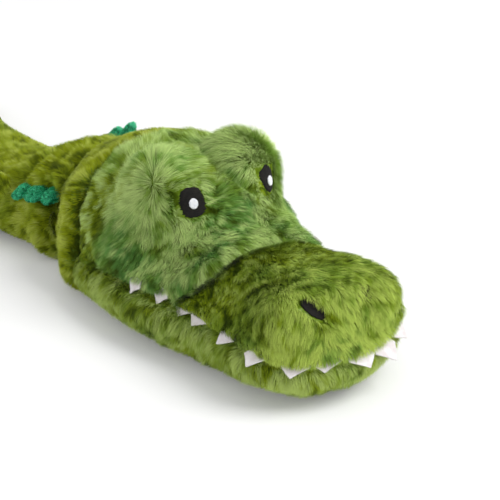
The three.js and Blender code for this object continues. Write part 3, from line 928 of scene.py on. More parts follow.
@dataclass(frozen=True)
class PlushFinish:
    """The dye, the painted shade towards the fibres' roots, and the sheen of one plush fabric."""

    name: str
    deep: Rgba
    olive: Rgba
    cool: Rgba
    bright: Rgba
    patch: float = 1.0
    # root is how much painted shade darkens each fibre towards its root; tip is how much paler its tip is.
    root: float = 0.22
    tip: float = 0.14
    sheen: float = 0.08
    roughness: float = 0.7

    def dye(self, made: Nodes, place: object, tone: object, tint: object) -> NodeSocket:
        """Places the mottled dye and gives its colour.

        Args:
            made: Nodes of the material.
            place: Where on the piece the dye is read.
            tone: How bright it is, round 0.5.
            tint: Olive at 0, and cool at 1.

        Returns:
            The colour.
        """
        given = {"Place": place, "Tone": tone, "Tint": tint, "Patch": self.patch}
        given |= {"Deep": self.deep, "Olive": self.olive, "Cool": self.cool, "Bright": self.bright}
        return made.group("dyed_mottle", **given)

    def fibres(self) -> Material:
        """Makes the material of the standing fibres.

        Returns:
            The material.
        """
        material, made, shader = blank(self.name + "_fibres")
        tone, tint = (made.stored(key).outputs["Fac"] for key in (Stored.TONE, Stored.TINT))
        dyed = self.dye(made, made.stored(Stored.ROOT).outputs["Vector"], tone, tint)
        along = made.stored(Stored.ALONG).outputs["Fac"]
        # Painted shade towards each fibre's root, and a paler tip.
        shaded = made.group("fibre_root_shade_and_tip", Color=dyed, Along=along, Root=self.root, Tip=self.tip)
        made.feed(shader, Base_Color=shaded, Roughness=self.roughness, Specular_IOR_Level=0.12)
        made.feed(shader, Sheen_Weight=self.sheen, Sheen_Roughness=0.4)
        return material

    def backing(self) -> Material:
        """Makes the material of the knitted cloth that the fibres stand in.

        Returns:
            The material.
        """
        material, made, shader = blank(self.name + "_backing")
        place = made.add("TexCoord").outputs["Object"]
        dyed = self.dye(made, place, 0.3, 0.4)
        darker = made.mix(0.55, dyed, self.deep)
        knit = made.noise(place, 0.7, 1.0)
        bump = made.add("Bump", None, Strength=0.5, Distance=0.4 * MM, Height=knit)
        rough = made.spread(knit, -0.8, 0.9)
        made.feed(shader, Base_Color=darker, Normal=bump.outputs[0], Roughness=rough, Specular_IOR_Level=0.1)
        return material


def blank(name: str) -> tuple[Material, Nodes, Node]:
    """Starts a material with only its Principled BSDF and output.

    Args:
        name: Name of the material.

    Returns:
        The material, its nodes and its Principled BSDF.
    """
    material = bpy.data.materials.new(name)
    material.use_nodes = True
    shader = material.node_tree.nodes["Principled BSDF"]
    return material, Nodes(material.node_tree), shader


@dataclass(frozen=True)
class ThreadFinish:
    """Satin embroidery thread, felt or moulded skin: one colour with a fine grain."""

    name: str
    base: Rgba
    shade: Rgba
    grain: float
    blot: float
    roughness: tuple[float, float]
    sheen: float
    bump: float

    def material(self) -> Material:
        """Makes the material.

        Returns:
            The material.
        """
        material, made, shader = blank(self.name)
        place = made.add("TexCoord").outputs["Object"]
        grain, blots = made.noise(place, self.grain, 3.0), made.noise(place, self.blot, 2.0, 0.4)
        worn = made.mix(made.spread(blots, 0.25, 0.75), self.shade, self.base)
        speckled = made.mix(made.spread(grain, 0.2, 0.6), self.shade, worn)
        dull = made.add("MapRange", None, Value=grain, i3=self.roughness[0], i4=self.roughness[1])
        bump = made.add("Bump", None, Strength=0.6, Distance=self.bump * MM, Height=grain)
        made.feed(shader, Base_Color=speckled, Roughness=dull.outputs[0], Normal=bump.outputs[0])
        made.feed(shader, Sheen_Weight=self.sheen, Specular_IOR_Level=0.3)
        return material


LONG_PLUSH = PlushFinish(
    "long_plush",
    deep=colour(64, 84, 4),
    olive=colour(150, 172, 26),
    cool=colour(104, 164, 76),
    bright=colour(200, 226, 136),
)
SNOUT_PLUSH = replace(
    LONG_PLUSH,
    name="snout_plush",
    deep=colour(58, 78, 0),
    olive=colour(142, 164, 10),
    cool=colour(124, 164, 66),
    bright=colour(190, 212, 96),
)
JAW_PLUSH = replace(LONG_PLUSH, name="jaw_plush", cool=colour(126, 162, 66), bright=colour(190, 212, 112))
SHORT_PLUSH = replace(
    LONG_PLUSH,
    name="short_plush",
    deep=colour(84, 100, 4),
    olive=colour(154, 170, 10),
    cool=colour(126, 158, 60),
    bright=colour(192, 206, 84),
    patch=0.8,
    root=0.32,
    tip=0.12,
)
TEAL_PLUSH = PlushFinish(
    "teal_plush",
    deep=colour(4, 96, 62),
    olive=colour(28, 172, 110),
    cool=colour(34, 186, 132),
    bright=colour(96, 232, 178),
    root=0.4,
    tip=0.3,
    patch=2.0,
)
BLACK_THREAD = ThreadFinish(
    "black_thread", colour(12, 11, 11), colour(30, 27, 24), 0.35, 3.0, (0.7, 0.95), 0.0, 0.08
)
WHITE_THREAD = ThreadFinish(
    "white_thread", colour(255, 255, 255), colour(236, 238, 246), 0.3, 2.5, (0.4, 0.65), 0.1, 0.05
)
FELT = ThreadFinish(
    "tooth_felt", colour(253, 251, 252), colour(236, 228, 228), 0.5, 5.0, (0.8, 1.0), 0.3, 0.12
)
MOULDED = ThreadFinish(
    "squeaker_vinyl", colour(226, 222, 206), colour(200, 194, 172), 1.4, 9.0, (0.3, 0.5), 0.0, 0.05
)


# Sewn forms


@dataclass
class StuffedForm:
    """One stuffed form of the toy: its cloth, and the pile that stands on it."""

    body: str
    nodes: tuple[str, ...]
    place: Placement
    pile: Pile
    finish: PlushFinish
    seed: int
    fill: float = 0.75
    voxel: float = 3.0
    inset: float = 2.6
    slot: Slot = Slot.PLUSH
    lumps: tuple[tuple[float, float], ...] = ((24, 0.9), (10, 0.6))  # how broad and how high
    swells: tuple[Region, ...] = ()
    filler: tuple[str, ...] = ()
    skin: Skin | None = None

    def relief(self, spots: Array, normals: Array) -> Array:
        """Gives how far the cloth stands out of its solid at each point, which is below 0 inside.

        Args:
            spots: Points of the cloth in the form's own frame.
            normals: Not used.

        Returns:
            One length for each point.
        """
        moves = np.zeros(len(spots))
        for number, (broad, high) in enumerate(self.lumps):
            moves += waviness(spots, broad, self.seed + 3 * number) * high
        return moves - self.inset + over_regions(folded(spots), self.swells)

    def comb(self, spots: Array, normals: Array, pile: Pile) -> Coat:
        """Gives the coat of the form: pile that lies towards its end and down.

        Args:
            spots: Fibre roots in the form's own frame.
            normals: Normals there.
            pile: The fabric's own habits.

        Returns:
            The coat.
        """
        coat = Coat.plain(len(spots), pile)
        coat.flow[:] = (0, 1, -0.45)
        coat.tint[:] = 0.15
        coat.keep[normals[:, 2] < -0.75] = 0.55
        coat.tone += waviness(spots, 30, self.seed + 7) * 0.1
        return coat

    def coats(self) -> list[tuple[str, Comb, Pile, PlushFinish, Slot]]:
        """Lists the fabrics of the form, with what each needs to grow."""
        return [(self.body + "_pile", self.comb, self.pile, self.finish, self.slot)]

    def build(self) -> list[Object]:
        """Makes the cloth and its pile.

        Returns:
            All pieces of the form.
        """
        skin = Skin.over(self.body + "_cloth", self.nodes + self.filler, self.voxel)
        skin.swell(self.relief(self.place.local(skin.points), self.place.turned(skin.normals)))
        self.skin = skin
        cloth = placed(self.body + "_cloth", skin.mesh, self.finish.backing())
        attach(cloth, self.body)
        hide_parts(*self.nodes)
        maker = PileMaker(skin, self.place, self.seed)
        pieces = [cloth]
        for name, comb, pile, finish, slot in self.coats():
            pieces += maker.grow(name, comb, pile, finish.fibres(), self.body)
        LOG.info("%s: %d cloth faces", self.body, len(skin.mesh.polygons))
        return pieces


@dataclass
class Head(StuffedForm):
    """The head: brow domes, a snout sewn on across the face, and a jaw below the mouth seam."""

    whorl: Spot = (43.0, 40.0, 84.0)
    eyes: tuple[Spot, ...] = ((24.2, 69.5, 77.3), (-25.1, 69.2, 78.8))
    nostril: Spot = (16.0, 175.5, 56.0)
    swells: tuple[Region, ...] = (
        Region(8.0, (0, 58, 84), (17, 34, 24)),  # between the brows
        Region(5.0, (0, 80, 72), (20, 16, 16)),  # between the eyes
        Region(3.2, (32, 32, 92), (30, 26, 18)),  # back of the brows
        Region(-2.5, (36, 72, 74), (8, 12, 12)),  # outer corners of the eyes
        Region(-4.2, (54, 72, 58), (16, 36, 22)),  # cheeks
        Region(2.5, (28, 92, 58), (24, 14, 18)),  # below the eyes
        Region(5.5, (30, 170, 54), (17, 18, 16)),  # sides of the nose
        Region(-4.5, (38, 166, 6), (18, 22, 16)),  # jaw below the nose
        Region(2.0, (62, 70, 10), (14, 60, 16)),  # jaw below the cheeks
        Region(4.5, (60, -8, 10), (14, 16, 22)),  # foot of the neck
        Region(-2.0, (0, 188, 8), (26, 14, 16)),  # chin
    )
    left_swells: tuple[Region, ...] = (
        Region(2.5, (-13, 70, 80), (7, 11, 12)),  # inner corner of the eye
        Region(-1.6, (-32, 72, 77), (9, 12, 14)),  # outer corner of the eye
        Region(3.0, (-7, 64, 86), (9, 22, 14)),  # brow beside the middle
        Region(4.0, (-30, 176, 52), (14, 18, 16)),  # top of the nose
        Region(-2.5, (-35, 180, 36), (14, 20, 8)),  # lip
        Region(2.5, (-20, 150, 62), (16, 20, 14)),  # bridge of the snout
        Region(4.0, (-24, 62, 92), (16, 22, 18)),  # crown of the brow
        Region(-2.0, (-36, 172, 10), (18, 22, 16)),  # jaw
    )
    # Painted light and shade, taken from the tone of the skull and snout pile: above 0 paints shade, below 0
    # paints light.
    painted_light_and_shade: tuple[Region, ...] = (
        Region(0.14, (0, 78, 82), (22, 22, 18)),  # between the eyes
        Region(-0.6, (-24, 60, 90), (20, 28, 24)),  # crown of the left brow
        Region(0.02, (62, 50, 48), (18, 34, 24)),  # right cheek
        Region(-0.2, (40, 84, 58), (18, 14, 18)),  # below the right eye
        Region(0.3, (48, 144, 42), (18, 26, 16)),  # right side of the snout
    )
    mouth_corner: float = 46.0
    mouth: tuple[tuple[float, ...], tuple[float, ...]] = (
        (-114, 0, 53, 114, 163, 180, 228),
        (22.4, 28.4, 32.7, 33.1, 32.2, 28.4, 27.5),
    )
    snout_pile: Pile = Pile(6.6, 5.6, 0.19, 62, tuft=3.8)
    jaw_pile: Pile = Pile(5.6, 4.6, 0.21, 50, tuft=3.8)
    neck_pile: Pile = Pile(4.4, 4.2, 0.27, 50, tuft=2.8, sections=3)

    def over_mouth(self, spots: Array) -> Array:
        """Gives how far each point is above the mouth seam."""
        return spots[:, 2] - np.interp(spots[:, 1], *self.mouth)

    def past_seam(self, spots: Array) -> Array:
        """Gives how far each point is ahead of the seam that joins the snout."""
        return spots[:, 1] - (109 - 14 * np.abs(spots[:, 0] / 53) ** 6)

    def past_rim(self, spots: Array) -> Array:
        """Gives how far each point is ahead of the edge where head and neck are sewn."""
        return spots[:, 1] - (10 - 0.24 * spots[:, 2])

    def off_whorl(self, spots: Array) -> Array:
        """Gives the vector to each point from the crown of the brow on its own side.

        Args:
            spots: Points in the head's frame.

        Returns:
            One vector for each point.
        """
        share = ease(-7, 7, spots[:, 0])[:, None]
        right, left = np.array(self.whorl), np.array(self.whorl) * (-1, 1, 1)
        return (spots - right) * share + (spots - left) * (1 - share)

    def off_eye(self, spots: Array) -> Array:
        """Gives each point's distance from the edge of the nearer eye patch, below 0 inside.

        Args:
            spots: Points in the head's frame.

        Returns:
            One distance for each point.
        """
        right, left = (spots - np.array(eye) for eye in self.eyes)
        away = np.where(spots[:, :1] > 0, right, left)
        return np.maximum(np.abs(away[:, 0]) - 7.4, np.hypot(away[:, 1], away[:, 2]) - 8.2)

    def off_nostril(self, spots: Array) -> Array:
        """Gives each point's distance from the nearer nostril slit."""
        x, y, z = self.nostril
        return reach_to(folded(spots), ((x + 4.2, y - 4.4, z + 2.8), (x - 4.2, y + 4.6, z - 3.4)))

    def relief(self, spots: Array, normals: Array) -> Array:
        """Gives how far the cloth stands out of the solid at each point.

        Args:
            spots: Points of the cloth in the head's frame.
            normals: Not used.

        Returns:
            One length for each point, below 0 inside the solid.
        """
        lips, seam, rim = self.over_mouth(spots), self.past_seam(spots), self.past_rim(spots)
        above, ahead, side = ease(-1, 3, lips), ease(-2, 2, rim), ease(84, 62, spots[:, 2])
        moves = waviness(spots, 22, 5) * 1.0 + waviness(spots, 9, 9) * 0.8
        moves -= 5.0 * above * ahead + 1.6 * (1 - above) * ahead + (5.0 - 2.4 * side) * (1 - ahead)
        moves += 3.4 * ridge(lips - 4, 5) * ease(80, 110, spots[:, 1])
        moves += 2.0 * ease(-4, 6, seam) * above
        moves += 2.6 * ease(9, 0, self.off_eye(spots)) * above
        moves -= 2.8 * ridge(seam, 3.0) * above
        moves += 1.4 * ridge(seam + 9, 6) * above
        moves -= 2.6 * ridge(self.off_nostril(spots), 3.0)
        moves += over_regions(folded(spots), self.swells) + over_regions(spots, self.left_swells)
        corner = ease(self.mouth_corner - 14, self.mouth_corner + 6, spots[:, 1])
        moves -= (0.8 + 2.8 * corner) * ridge(lips, 2.6) * ahead
        moves += 1.2 * ridge(lips + 8, 6) * ahead
        moves -= 6.0 * ridge(rim, 3.2) * (0.3 + 0.7 * side)
        moves += (1.6 * ridge(rim - 9, 7) - 1.4 * ridge(rim - 21, 4) * above) * side
        moves += 2.4 * ridge(rim + 9, 5) * side
        return moves

    def over_skull(self, spots: Array, normals: Array, pile: Pile) -> Coat:
        """Gives the coat of the skull: long pile that spins away from the brow crowns.

        Args:
            spots: Fibre roots in the head's frame.
            normals: Not used.
            pile: The fabric's own habits.

        Returns:
            The coat.
        """
        coat = Coat.plain(len(spots), pile)
        lips, seam, rim = self.over_mouth(spots), self.past_seam(spots), self.past_rim(spots)
        coat.keep = ((lips > 0.5) & (seam < 0.5) & (rim > 0)).astype(float)
        away = self.off_whorl(spots)
        far = np.linalg.norm(away, axis=1)
        swept = np.stack([0.4 * np.sign(spots[:, 0]), -0.4 + 0 * far, -0.2 + 0 * far], axis=1)
        coat.flow = unit(away) * (0.12 + 0.88 * ease(4, 22, far))[:, None]
        coat.flow += swept * 2.2 * ridge(far, 14)[:, None]
        coat.flow += np.array([0, 0, -0.5]) * ease(20, 50, far)[:, None]
        coat.lean = 36 + 18 * ease(3, 34, far)
        crown = ridge(far, 26)
        side = ease(84, 62, spots[:, 2])
        coat.length *= (0.9 + 0.14 * waviness(spots, 16, 21)) * (1 - 0.55 * ease(34, 6, rim) * side)
        coat.length *= 1 - 0.55 * ease(9, 1, lips)
        eye = self.off_eye(spots)
        coat.keep *= eye > 0.3
        coat.length = np.minimum(coat.length, 1.8 + np.maximum(eye, 0) * 1.0)
        # Painted light: lighter on the brow crowns and higher up the head.
        coat.tone += 0.3 * crown + 0.12 * ease(40, 70, spots[:, 2]) - 0.08
        # Painted shade in the snout seam, along the edge where head and neck are sewn, and in the groove a
        # little ahead of that edge.
        coat.tone -= (
            0.14 * ease(6, 0, -seam) + 0.5 * ease(4, 0, rim) * side + 0.14 * ridge(rim - 21, 4) * side - 0.05
        )
        # More painted shade nearer that edge, and the painted light and shade of the listed regions.
        coat.tone -= 0.04 * ease(24, 10, rim) * side + over_regions(spots, self.painted_light_and_shade)
        coat.tone += 0.22 * waviness(spots, 13, 25) * ease(12, 30, far)
        # Painted light on the face below the eyes.
        coat.tone += 0.24 * ridge(spots[:, 2] - 50, 20) * ease(50, 70, spots[:, 1])
        coat.tint = 0.62 - 0.1 * crown + 0.25 * ridge(spots[:, 2] - 45, 20) * ease(20, 50, spots[:, 1])
        coat.tint -= (
            0.7 * ease(34, 14, rim) * side + 0.2 * ease(30, 0, spots[:, 1]) + 0.4 * ease(14, 0, -seam)
        )
        return coat

    def over_snout(self, spots: Array, normals: Array, pile: Pile) -> Coat:
        """Gives the coat of the snout: darker pile that lies forward, then down over the lip.

        Args:
            spots: Fibre roots in the head's frame.
            normals: Normals there.
            pile: The fabric's own habits.

        Returns:
            The coat.
        """
        coat = Coat.plain(len(spots), pile)
        lips, seam = self.over_mouth(spots), self.past_seam(spots)
        coat.keep = ((lips > 0.5) & (seam >= 0.5)).astype(float)
        front = ease(0.3, 0.8, normals[:, 1])
        coat.flow = np.stack([spots[:, 0] * 0.012, 1 - 0.8 * front, -0.25 - 1.0 * front], axis=1)
        coat.flow[:, 2] -= 0.5 * ease(0.4, 0.9, np.abs(normals[:, 0]))
        new = ease(26, 0, seam)
        coat.length *= 1 - 0.42 * new - 0.25 * ease(8, 1, lips)
        slit = self.off_nostril(spots)
        open_side = spots[:, 0] > 0
        coat.keep *= slit > 0.4 + 3.9 * open_side
        least = 5.0 - 3.4 * open_side
        coat.length = np.minimum(coat.length, least + np.maximum(slit - 1, 0) * 0.9)
        coat.lean = coat.lean - 8 * new
        nose = ease(130, 172, spots[:, 1])
        coat.tone += 0.2 * nose + 0.1 - 0.26 * new * (0.6 + 0.4 * waviness(spots, 7, 31))
        # Random blots, less the painted light and shade of the listed regions.
        coat.tone += 0.2 * waviness(spots, 17, 51) - over_regions(spots, self.painted_light_and_shade)
        coat.tint = 0.1 + 0.36 * nose + 0.3 * waviness(spots, 21, 53)
        return coat

    def over_jaw(self, spots: Array, normals: Array, pile: Pile) -> Coat:
        """Gives the coat of the jaw: pile that lies straight down.

        Args:
            spots: Fibre roots in the head's frame.
            normals: Normals there.
            pile: The fabric's own habits.

        Returns:
            The coat.
        """
        coat = Coat.plain(len(spots), pile)
        lips, rim = self.over_mouth(spots), self.past_rim(spots)
        coat.keep = ((lips < -0.5) & (rim > 0)).astype(float)
        coat.keep[normals[:, 2] < -0.75] *= 0.5
        under = ease(-0.4, -0.9, normals[:, 2])
        coat.flow = np.stack([0 * lips, 0.15 - under, -1 + under], axis=1)
        coat.length *= 1 - 0.6 * ease(9, 0, -lips)
        coat.tone += 0.12 + 0.12 * ease(130, 180, spots[:, 1]) + 0.22 * waviness(spots, 16, 41)
        coat.tint = 0.35 - 0.3 * ease(22, 4, rim) + 0.2 * waviness(spots, 19, 43)
        return coat

    def over_neck(self, spots: Array, normals: Array, pile: Pile) -> Coat:
        """Gives the coat of the short-piled roll behind the head's edge.

        Args:
            spots: Fibre roots in the form's own frame.
            normals: Normals there.
            pile: The fabric's own habits.

        Returns:
            The coat.
        """
        coat = super().comb(spots, normals, pile)
        rim = self.past_rim(spots)
        coat.keep *= rim <= 0
        coat.flow[:] = (0, -1, -0.5)
        coat.length *= 1 - 0.5 * ridge(rim, 5)
        # Painted shade in the crease at the head's edge, and painted light along the top of the roll behind
        # it.
        coat.tone += 0.14 * ridge(rim + 9, 6) - 0.75 * ridge(rim, 3.5)
        coat.tint[:] = 0.08
        return coat

    def coats(self) -> list[tuple[str, Comb, Pile, PlushFinish, Slot]]:
        """Lists the four fabrics of the head.

        Returns:
            What each needs to grow.
        """
        return [
            ("skull_pile", self.over_skull, self.pile, LONG_PLUSH, Slot.PLUSH),
            ("snout_pile", self.over_snout, self.snout_pile, SNOUT_PLUSH, Slot.PLUSH),
            ("jaw_pile", self.over_jaw, self.jaw_pile, JAW_PLUSH, Slot.JAW),
            ("neck_pile", self.over_neck, self.neck_pile, SHORT_PLUSH, Slot.PLUSH),
        ]


@dataclass
class Torso(StuffedForm):
    """The body: side seams that hold the scutes, and the folds of a soft neck."""

    folds: tuple[tuple[Spot, ...], ...] = (
        ((-36, 104, 35), (-31, 98, 39), (-26, 92, 42), (-14, 88, 47))
        + ((-6, 87, 49), (6, 86, 49), (18, 84, 47)),
        ((-34, 66, 43), (-39, 60, 36), (-42, 56, 26), (-44, 54, 14), (-43, 50, 4)),
        ((34, 62, 46), (41, 58, 30), (44, 54, 14), (43, 50, 4)),
    )
    seams: tuple[tuple[Spot, ...], ...] = (
        ((-36, 57, 43), (-36, 70, 38), (-33, 100, 37), (-29, 113, 37), (-26, 123, 38), (-30, 160, 36)),
    )

    def relief(self, spots: Array, normals: Array) -> Array:
        """Gives how far the cloth stands out of the solid at each point.

        Args:
            spots: Points of the cloth in the torso's frame.
            normals: Normals there.

        Returns:
            One length for each point, below 0 inside the solid.
        """
        moves = super().relief(spots, normals)
        moves += 3.0 * ease(34, 14, spots[:, 2]) + 2.0 * ridge(spots[:, 1] - 42, 16)
        moves += 3.0 * ridge(spots[:, 1] - 82, 30) * ease(0.5, 0.9, normals[:, 2])
        for line in self.folds:
            gap = reach_to(spots, line)
            moves += 2.4 * ridge(gap - 12, 6) - 9.0 * ridge(gap, 5.5)
        for line in self.seams:
            moves -= 2.2 * ridge(reach_to(spots, line), 2.6)
        return moves

    def comb(self, spots: Array, normals: Array, pile: Pile) -> Coat:
        """Gives the coat of the body, with painted shade down in its folds.

        Args:
            spots: Fibre roots in the torso's frame.
            normals: Normals there.
            pile: The fabric's own habits.

        Returns:
            The coat.
        """
        coat = super().comb(spots, normals, pile)
        for line in self.folds:
            gap = reach_to(spots, line)
            # Painted shade down in each fold.
            coat.tone -= 0.95 * ridge(gap, 4.5)
            coat.length *= 1 - 0.7 * ridge(gap, 6)
        for line in self.seams:
            coat.length *= 1 - 0.5 * ridge(reach_to(spots, line), 3)
        return coat


@dataclass
class ScuteStrip:
    """A row of teal lobes sewn into a seam, cut from short plush."""

    node: str
    body: str
    seed: int
    outward: Spot
    waists: tuple[float, ...]
    tilt: float = 0.0
    sink: float = 0.0
    gathered: float = 0.0
    deepest: float = 4.5
    shallowest: float = 1.5
    reach: float = 7.2
    tip: float = 8.5
    thickness: tuple[float, float] = (2.3, 2.8)
    fan: float = 0.12
    pile: Pile = Pile(1.7, 12.0, 0.22, 26, 30, 1.2, gather=0.45, swirl=0.0, sections=3, softness=0.5)

    def lobes(self, under: Skin) -> tuple[Skin, Array]:
        """Makes the cloth of the strip: one rounded lobe for each scute, sewn down at its root.

        Args:
            under: The cloth that the strip is sewn to.

        Returns:
            The cloth, and the middle of the lobe that each of its vertices belongs to.
        """
        rng = np.random.default_rng(self.seed)
        solid = cad_points(self.node)
        front = solid[:, 1].min()
        edges = [front, *self.waists, solid[:, 1].max()]
        out = unit(np.array(self.outward))
        whole, faces = ball(28, 18)
        points, corners, middles = [], [], []
        for low, high in zip(edges[:-1], edges[1:]):
            own = solid[(solid[:, 1] > low + 0.5) & (solid[:, 1] < high - 0.5)]
            middle = (own.min(0) + own.max(0)) / 2
            middle += out * (((own - middle) @ out).max() - self.tip)
            behind = middle[1] - front
            middle -= np.array([0, behind * self.gathered, behind * self.tilt + self.sink])
            veer, rise = rng.uniform(-self.fan, self.fan), rng.uniform(-self.fan, self.fan)
            ahead = unit(np.array([veer, 1.0, -self.tilt + rise]))
            root = middle - out * self.reach
            spot = np.linalg.norm(under.points - root, axis=1).argmin()
            depth = (under.points[spot] - root) @ under.normals[spot]
            middle += under.normals[spot] * (depth - np.clip(depth, self.shallowest, self.deepest))
            thick = unit(np.cross(ahead, out))
            half = (high - low) * (1 - self.gathered) / 2 + 0.2
            axes = np.stack([ahead * half, out * self.reach, thick * rng.uniform(*self.thickness)])
            start = len(middles) * len(whole)
            corners += [[start + corner for corner in face] for face in faces]
            points.append(middle + whole @ axes)
            middles.append(middle)
        mesh = from_faces(self.node + "_cloth", np.concatenate(points), corners)
        mesh.shade_flat()
        skin = Skin(mesh)
        own = np.abs(skin.points[:, 1:2] - np.array(middles)[:, 1]).argmin(1)
        return skin, np.array(middles)[own]

    def comb(self, spots: Array, normals: Array, pile: Pile) -> Coat:
        """Gives the coat of the lobes: short pile brushed to their ragged tips.

        Args:
            spots: Fibre roots in the form's own frame.
            normals: Normals there.
            pile: The fabric's own habits.

        Returns:
            The coat.
        """
        coat = Coat.plain(len(spots), pile)
        coat.flow[:] = self.outward
        tips = ease(0.2, 0.9, normals @ unit(np.array(self.outward)))
        coat.length *= 0.75 + 0.5 * tips
        # Painted light: lighter where the lobes face up; the whole strip is also lifted.
        coat.tone += 0.2 * normals[:, 2] + 0.4
        return coat

    def build(self, under: Skin) -> list[Object]:
        """Makes the lobes' cloth and their pile.

        Args:
            under: The cloth that the strip is sewn to.

        Returns:
            The pieces of the strip.
        """
        skin, middles = self.lobes(under)
        skin.shift(unit(skin.points - middles) * (waviness(skin.points, 3.0, self.seed) * 0.7)[:, None])
        cloth = placed(self.node + "_cloth", skin.mesh, TEAL_PLUSH.backing())
        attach(cloth, self.body)
        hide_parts(self.node)
        maker = PileMaker(skin, UNTURNED, self.seed)
        fibres = TEAL_PLUSH.fibres()
        return [cloth] + maker.grow(self.node + "_pile", self.comb, self.pile, fibres, self.body)


# Stitched and felt pieces


RINGS, SIDES = 17, 6  # of the tube that is one thread
FACING = 6.0  # how broad a stretch of cloth a patch takes its facing from
REST = 1.7  # how broad a stretch of cloth a thread lies on
PATCH_REACH = 16


def tube_faces(start: int) -> list[list[int]]:
    """Gives the faces of a thread's closed tube.

    Args:
        start: Number of the tube's first vertex.

    Returns:
        The vertex numbers of each face.
    """
    faces = []
    for ring in range(start, start + (RINGS - 1) * SIDES, SIDES):
        for side in range(SIDES):
            beside = (side + 1) % SIDES
            faces.append([ring + side, ring + SIDES + side, ring + SIDES + beside, ring + beside])
    faces.append([start + side for side in range(SIDES)])
    faces.append([start + (RINGS - 1) * SIDES + side for side in reversed(range(SIDES))])
    return faces


@dataclass
class StitchedPatch:
    """An embroidered patch: a low pad covered side to side with rows of thread."""

    node: str
    half_width: float
    half_height: float
    squareness: float
    finish: ThreadFinish
    slot: Slot
    seed: int
    body: str = "head"
    pitch: float = 0.55
    dome: float = 0.7
    lift: float = 0.0
    ragged: float = 0.5
    nudge: tuple[float, float] = (0.0, 0.0)
    roll: float = 0.0
    slanted: bool = False

    def frame_on(self, cloth: Skin) -> tuple[Array, Array]:
        """Finds where the patch is sewn on: the middle of its CAD solid, moved by the nudge, and facing as
        the cloth round it faces.

        Args:
            cloth: The cloth that carries the patch.

        Returns:
            The middle of the patch, and rows that are its own right, up and outward.
        """
        points = cad_points(self.node)
        middle = (points.min(0) + points.max(0)) / 2
        gap = np.linalg.norm(cloth.points - middle, axis=1)
        out = unit((cloth.normals * ridge(gap, FACING)[:, None]).sum(0))
        if self.slanted:
            right = np.linalg.svd(points - points.mean(0), full_matrices=False)[2][0]
            right = right * np.sign(right[2])
        else:
            right = np.cross(UP, out)
        right = unit(right - (right @ out) * out)
        up = np.cross(out, right)
        middle = middle + right * self.nudge[0] + up * self.nudge[1]
        turn = math.radians(self.roll)
        right, up = right * math.cos(turn) + up * math.sin(turn), up * math.cos(turn) - right * math.sin(turn)
        return middle, np.stack([right, up, out])

    def half_run(self, height: Array) -> Array:
        """Gives half the width of the patch at some heights, for its rounded outline."""
        share = np.clip(np.abs(height / self.half_height), 0, 1)
        return self.half_width * (1 - share**self.squareness) ** (1 / self.squareness)

    def thread(self, row: float, upper: bool, under: Array, rng: np.random.Generator) -> Array:
        """Lays one thread over the cloth.

        Args:
            row: Height of the thread on the patch.
            upper: Whether it is in the second layer, which lies between the rows of the first.
            under: The cloth's points in the patch's frame.
            rng: Source of the draws.

        Returns:
            The points of its tube, one ring after the other.
        """
        run = self.half_run(np.array([row]))[0] + rng.uniform(-self.ragged, self.ragged * 0.6)
        run = max(run, self.pitch)
        across = np.linspace(-run, run, RINGS)
        rise = np.abs(across / self.half_width) ** 2 + abs(row / self.half_height) ** 2
        high = self.dome * np.clip(1 - rise, 0, 1) ** 0.6 + 0.22 * upper
        high += rng.uniform(-0.06, 0.06) - 0.5 * ease(0.82, 1.0, np.abs(across) / run)
        wobble = row + np.sin(across * 1.7 + rng.uniform(0, 6)) * 0.08 + rng.uniform(-0.1, 0.1)
        gap = np.hypot(across[:, None] - under[:, 0], wobble[:, None] - under[:, 1])
        share = ridge(gap, REST) + 1e-9
        high += (share * under[:, 2]).sum(1) / share.sum(1) + self.lift
        core = np.stack([across, wobble, high], axis=1)
        turn = np.linspace(0, 2 * math.pi, SIDES, endpoint=False)
        thick = self.pitch * 0.58 * (0.35 + 0.65 * np.clip((1 - np.abs(across) / run) * 9, 0, 1))
        ring = np.stack([0 * turn, np.cos(turn), np.sin(turn)], axis=1)
        return (core[:, None] + ring[None] * thick[:, None, None]).reshape(-1, 3)

    def build(self, cloth: Skin) -> Object:
        """Makes the patch: two layers of threads, laid over the cloth.

        Args:
            cloth: The cloth that carries the patch.

        Returns:
            The piece.
        """
        rng = np.random.default_rng(self.seed)
        centre, axes = self.frame_on(cloth)
        around = (cloth.points - centre) @ axes.T
        under = around[(np.linalg.norm(around, axis=1) < PATCH_REACH) & (cloth.normals @ axes[2] > 0.3)]
        lower = np.arange(-self.half_height + self.pitch / 2, self.half_height, self.pitch)
        rows = np.concatenate([lower, lower[:-1] + self.pitch / 2])
        points, corners = [], []
        for number, row in enumerate(rows):
            points.append(self.thread(row, number >= len(lower), under, rng))
            corners += tube_faces(number * RINGS * SIDES)
        mesh = from_faces(self.node + "_stitches", centre + np.concatenate(points) @ axes, corners)
        piece = placed(self.node + "_stitches", mesh, self.finish.material())
        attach(piece, self.body)
        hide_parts(self.node)
        return piece


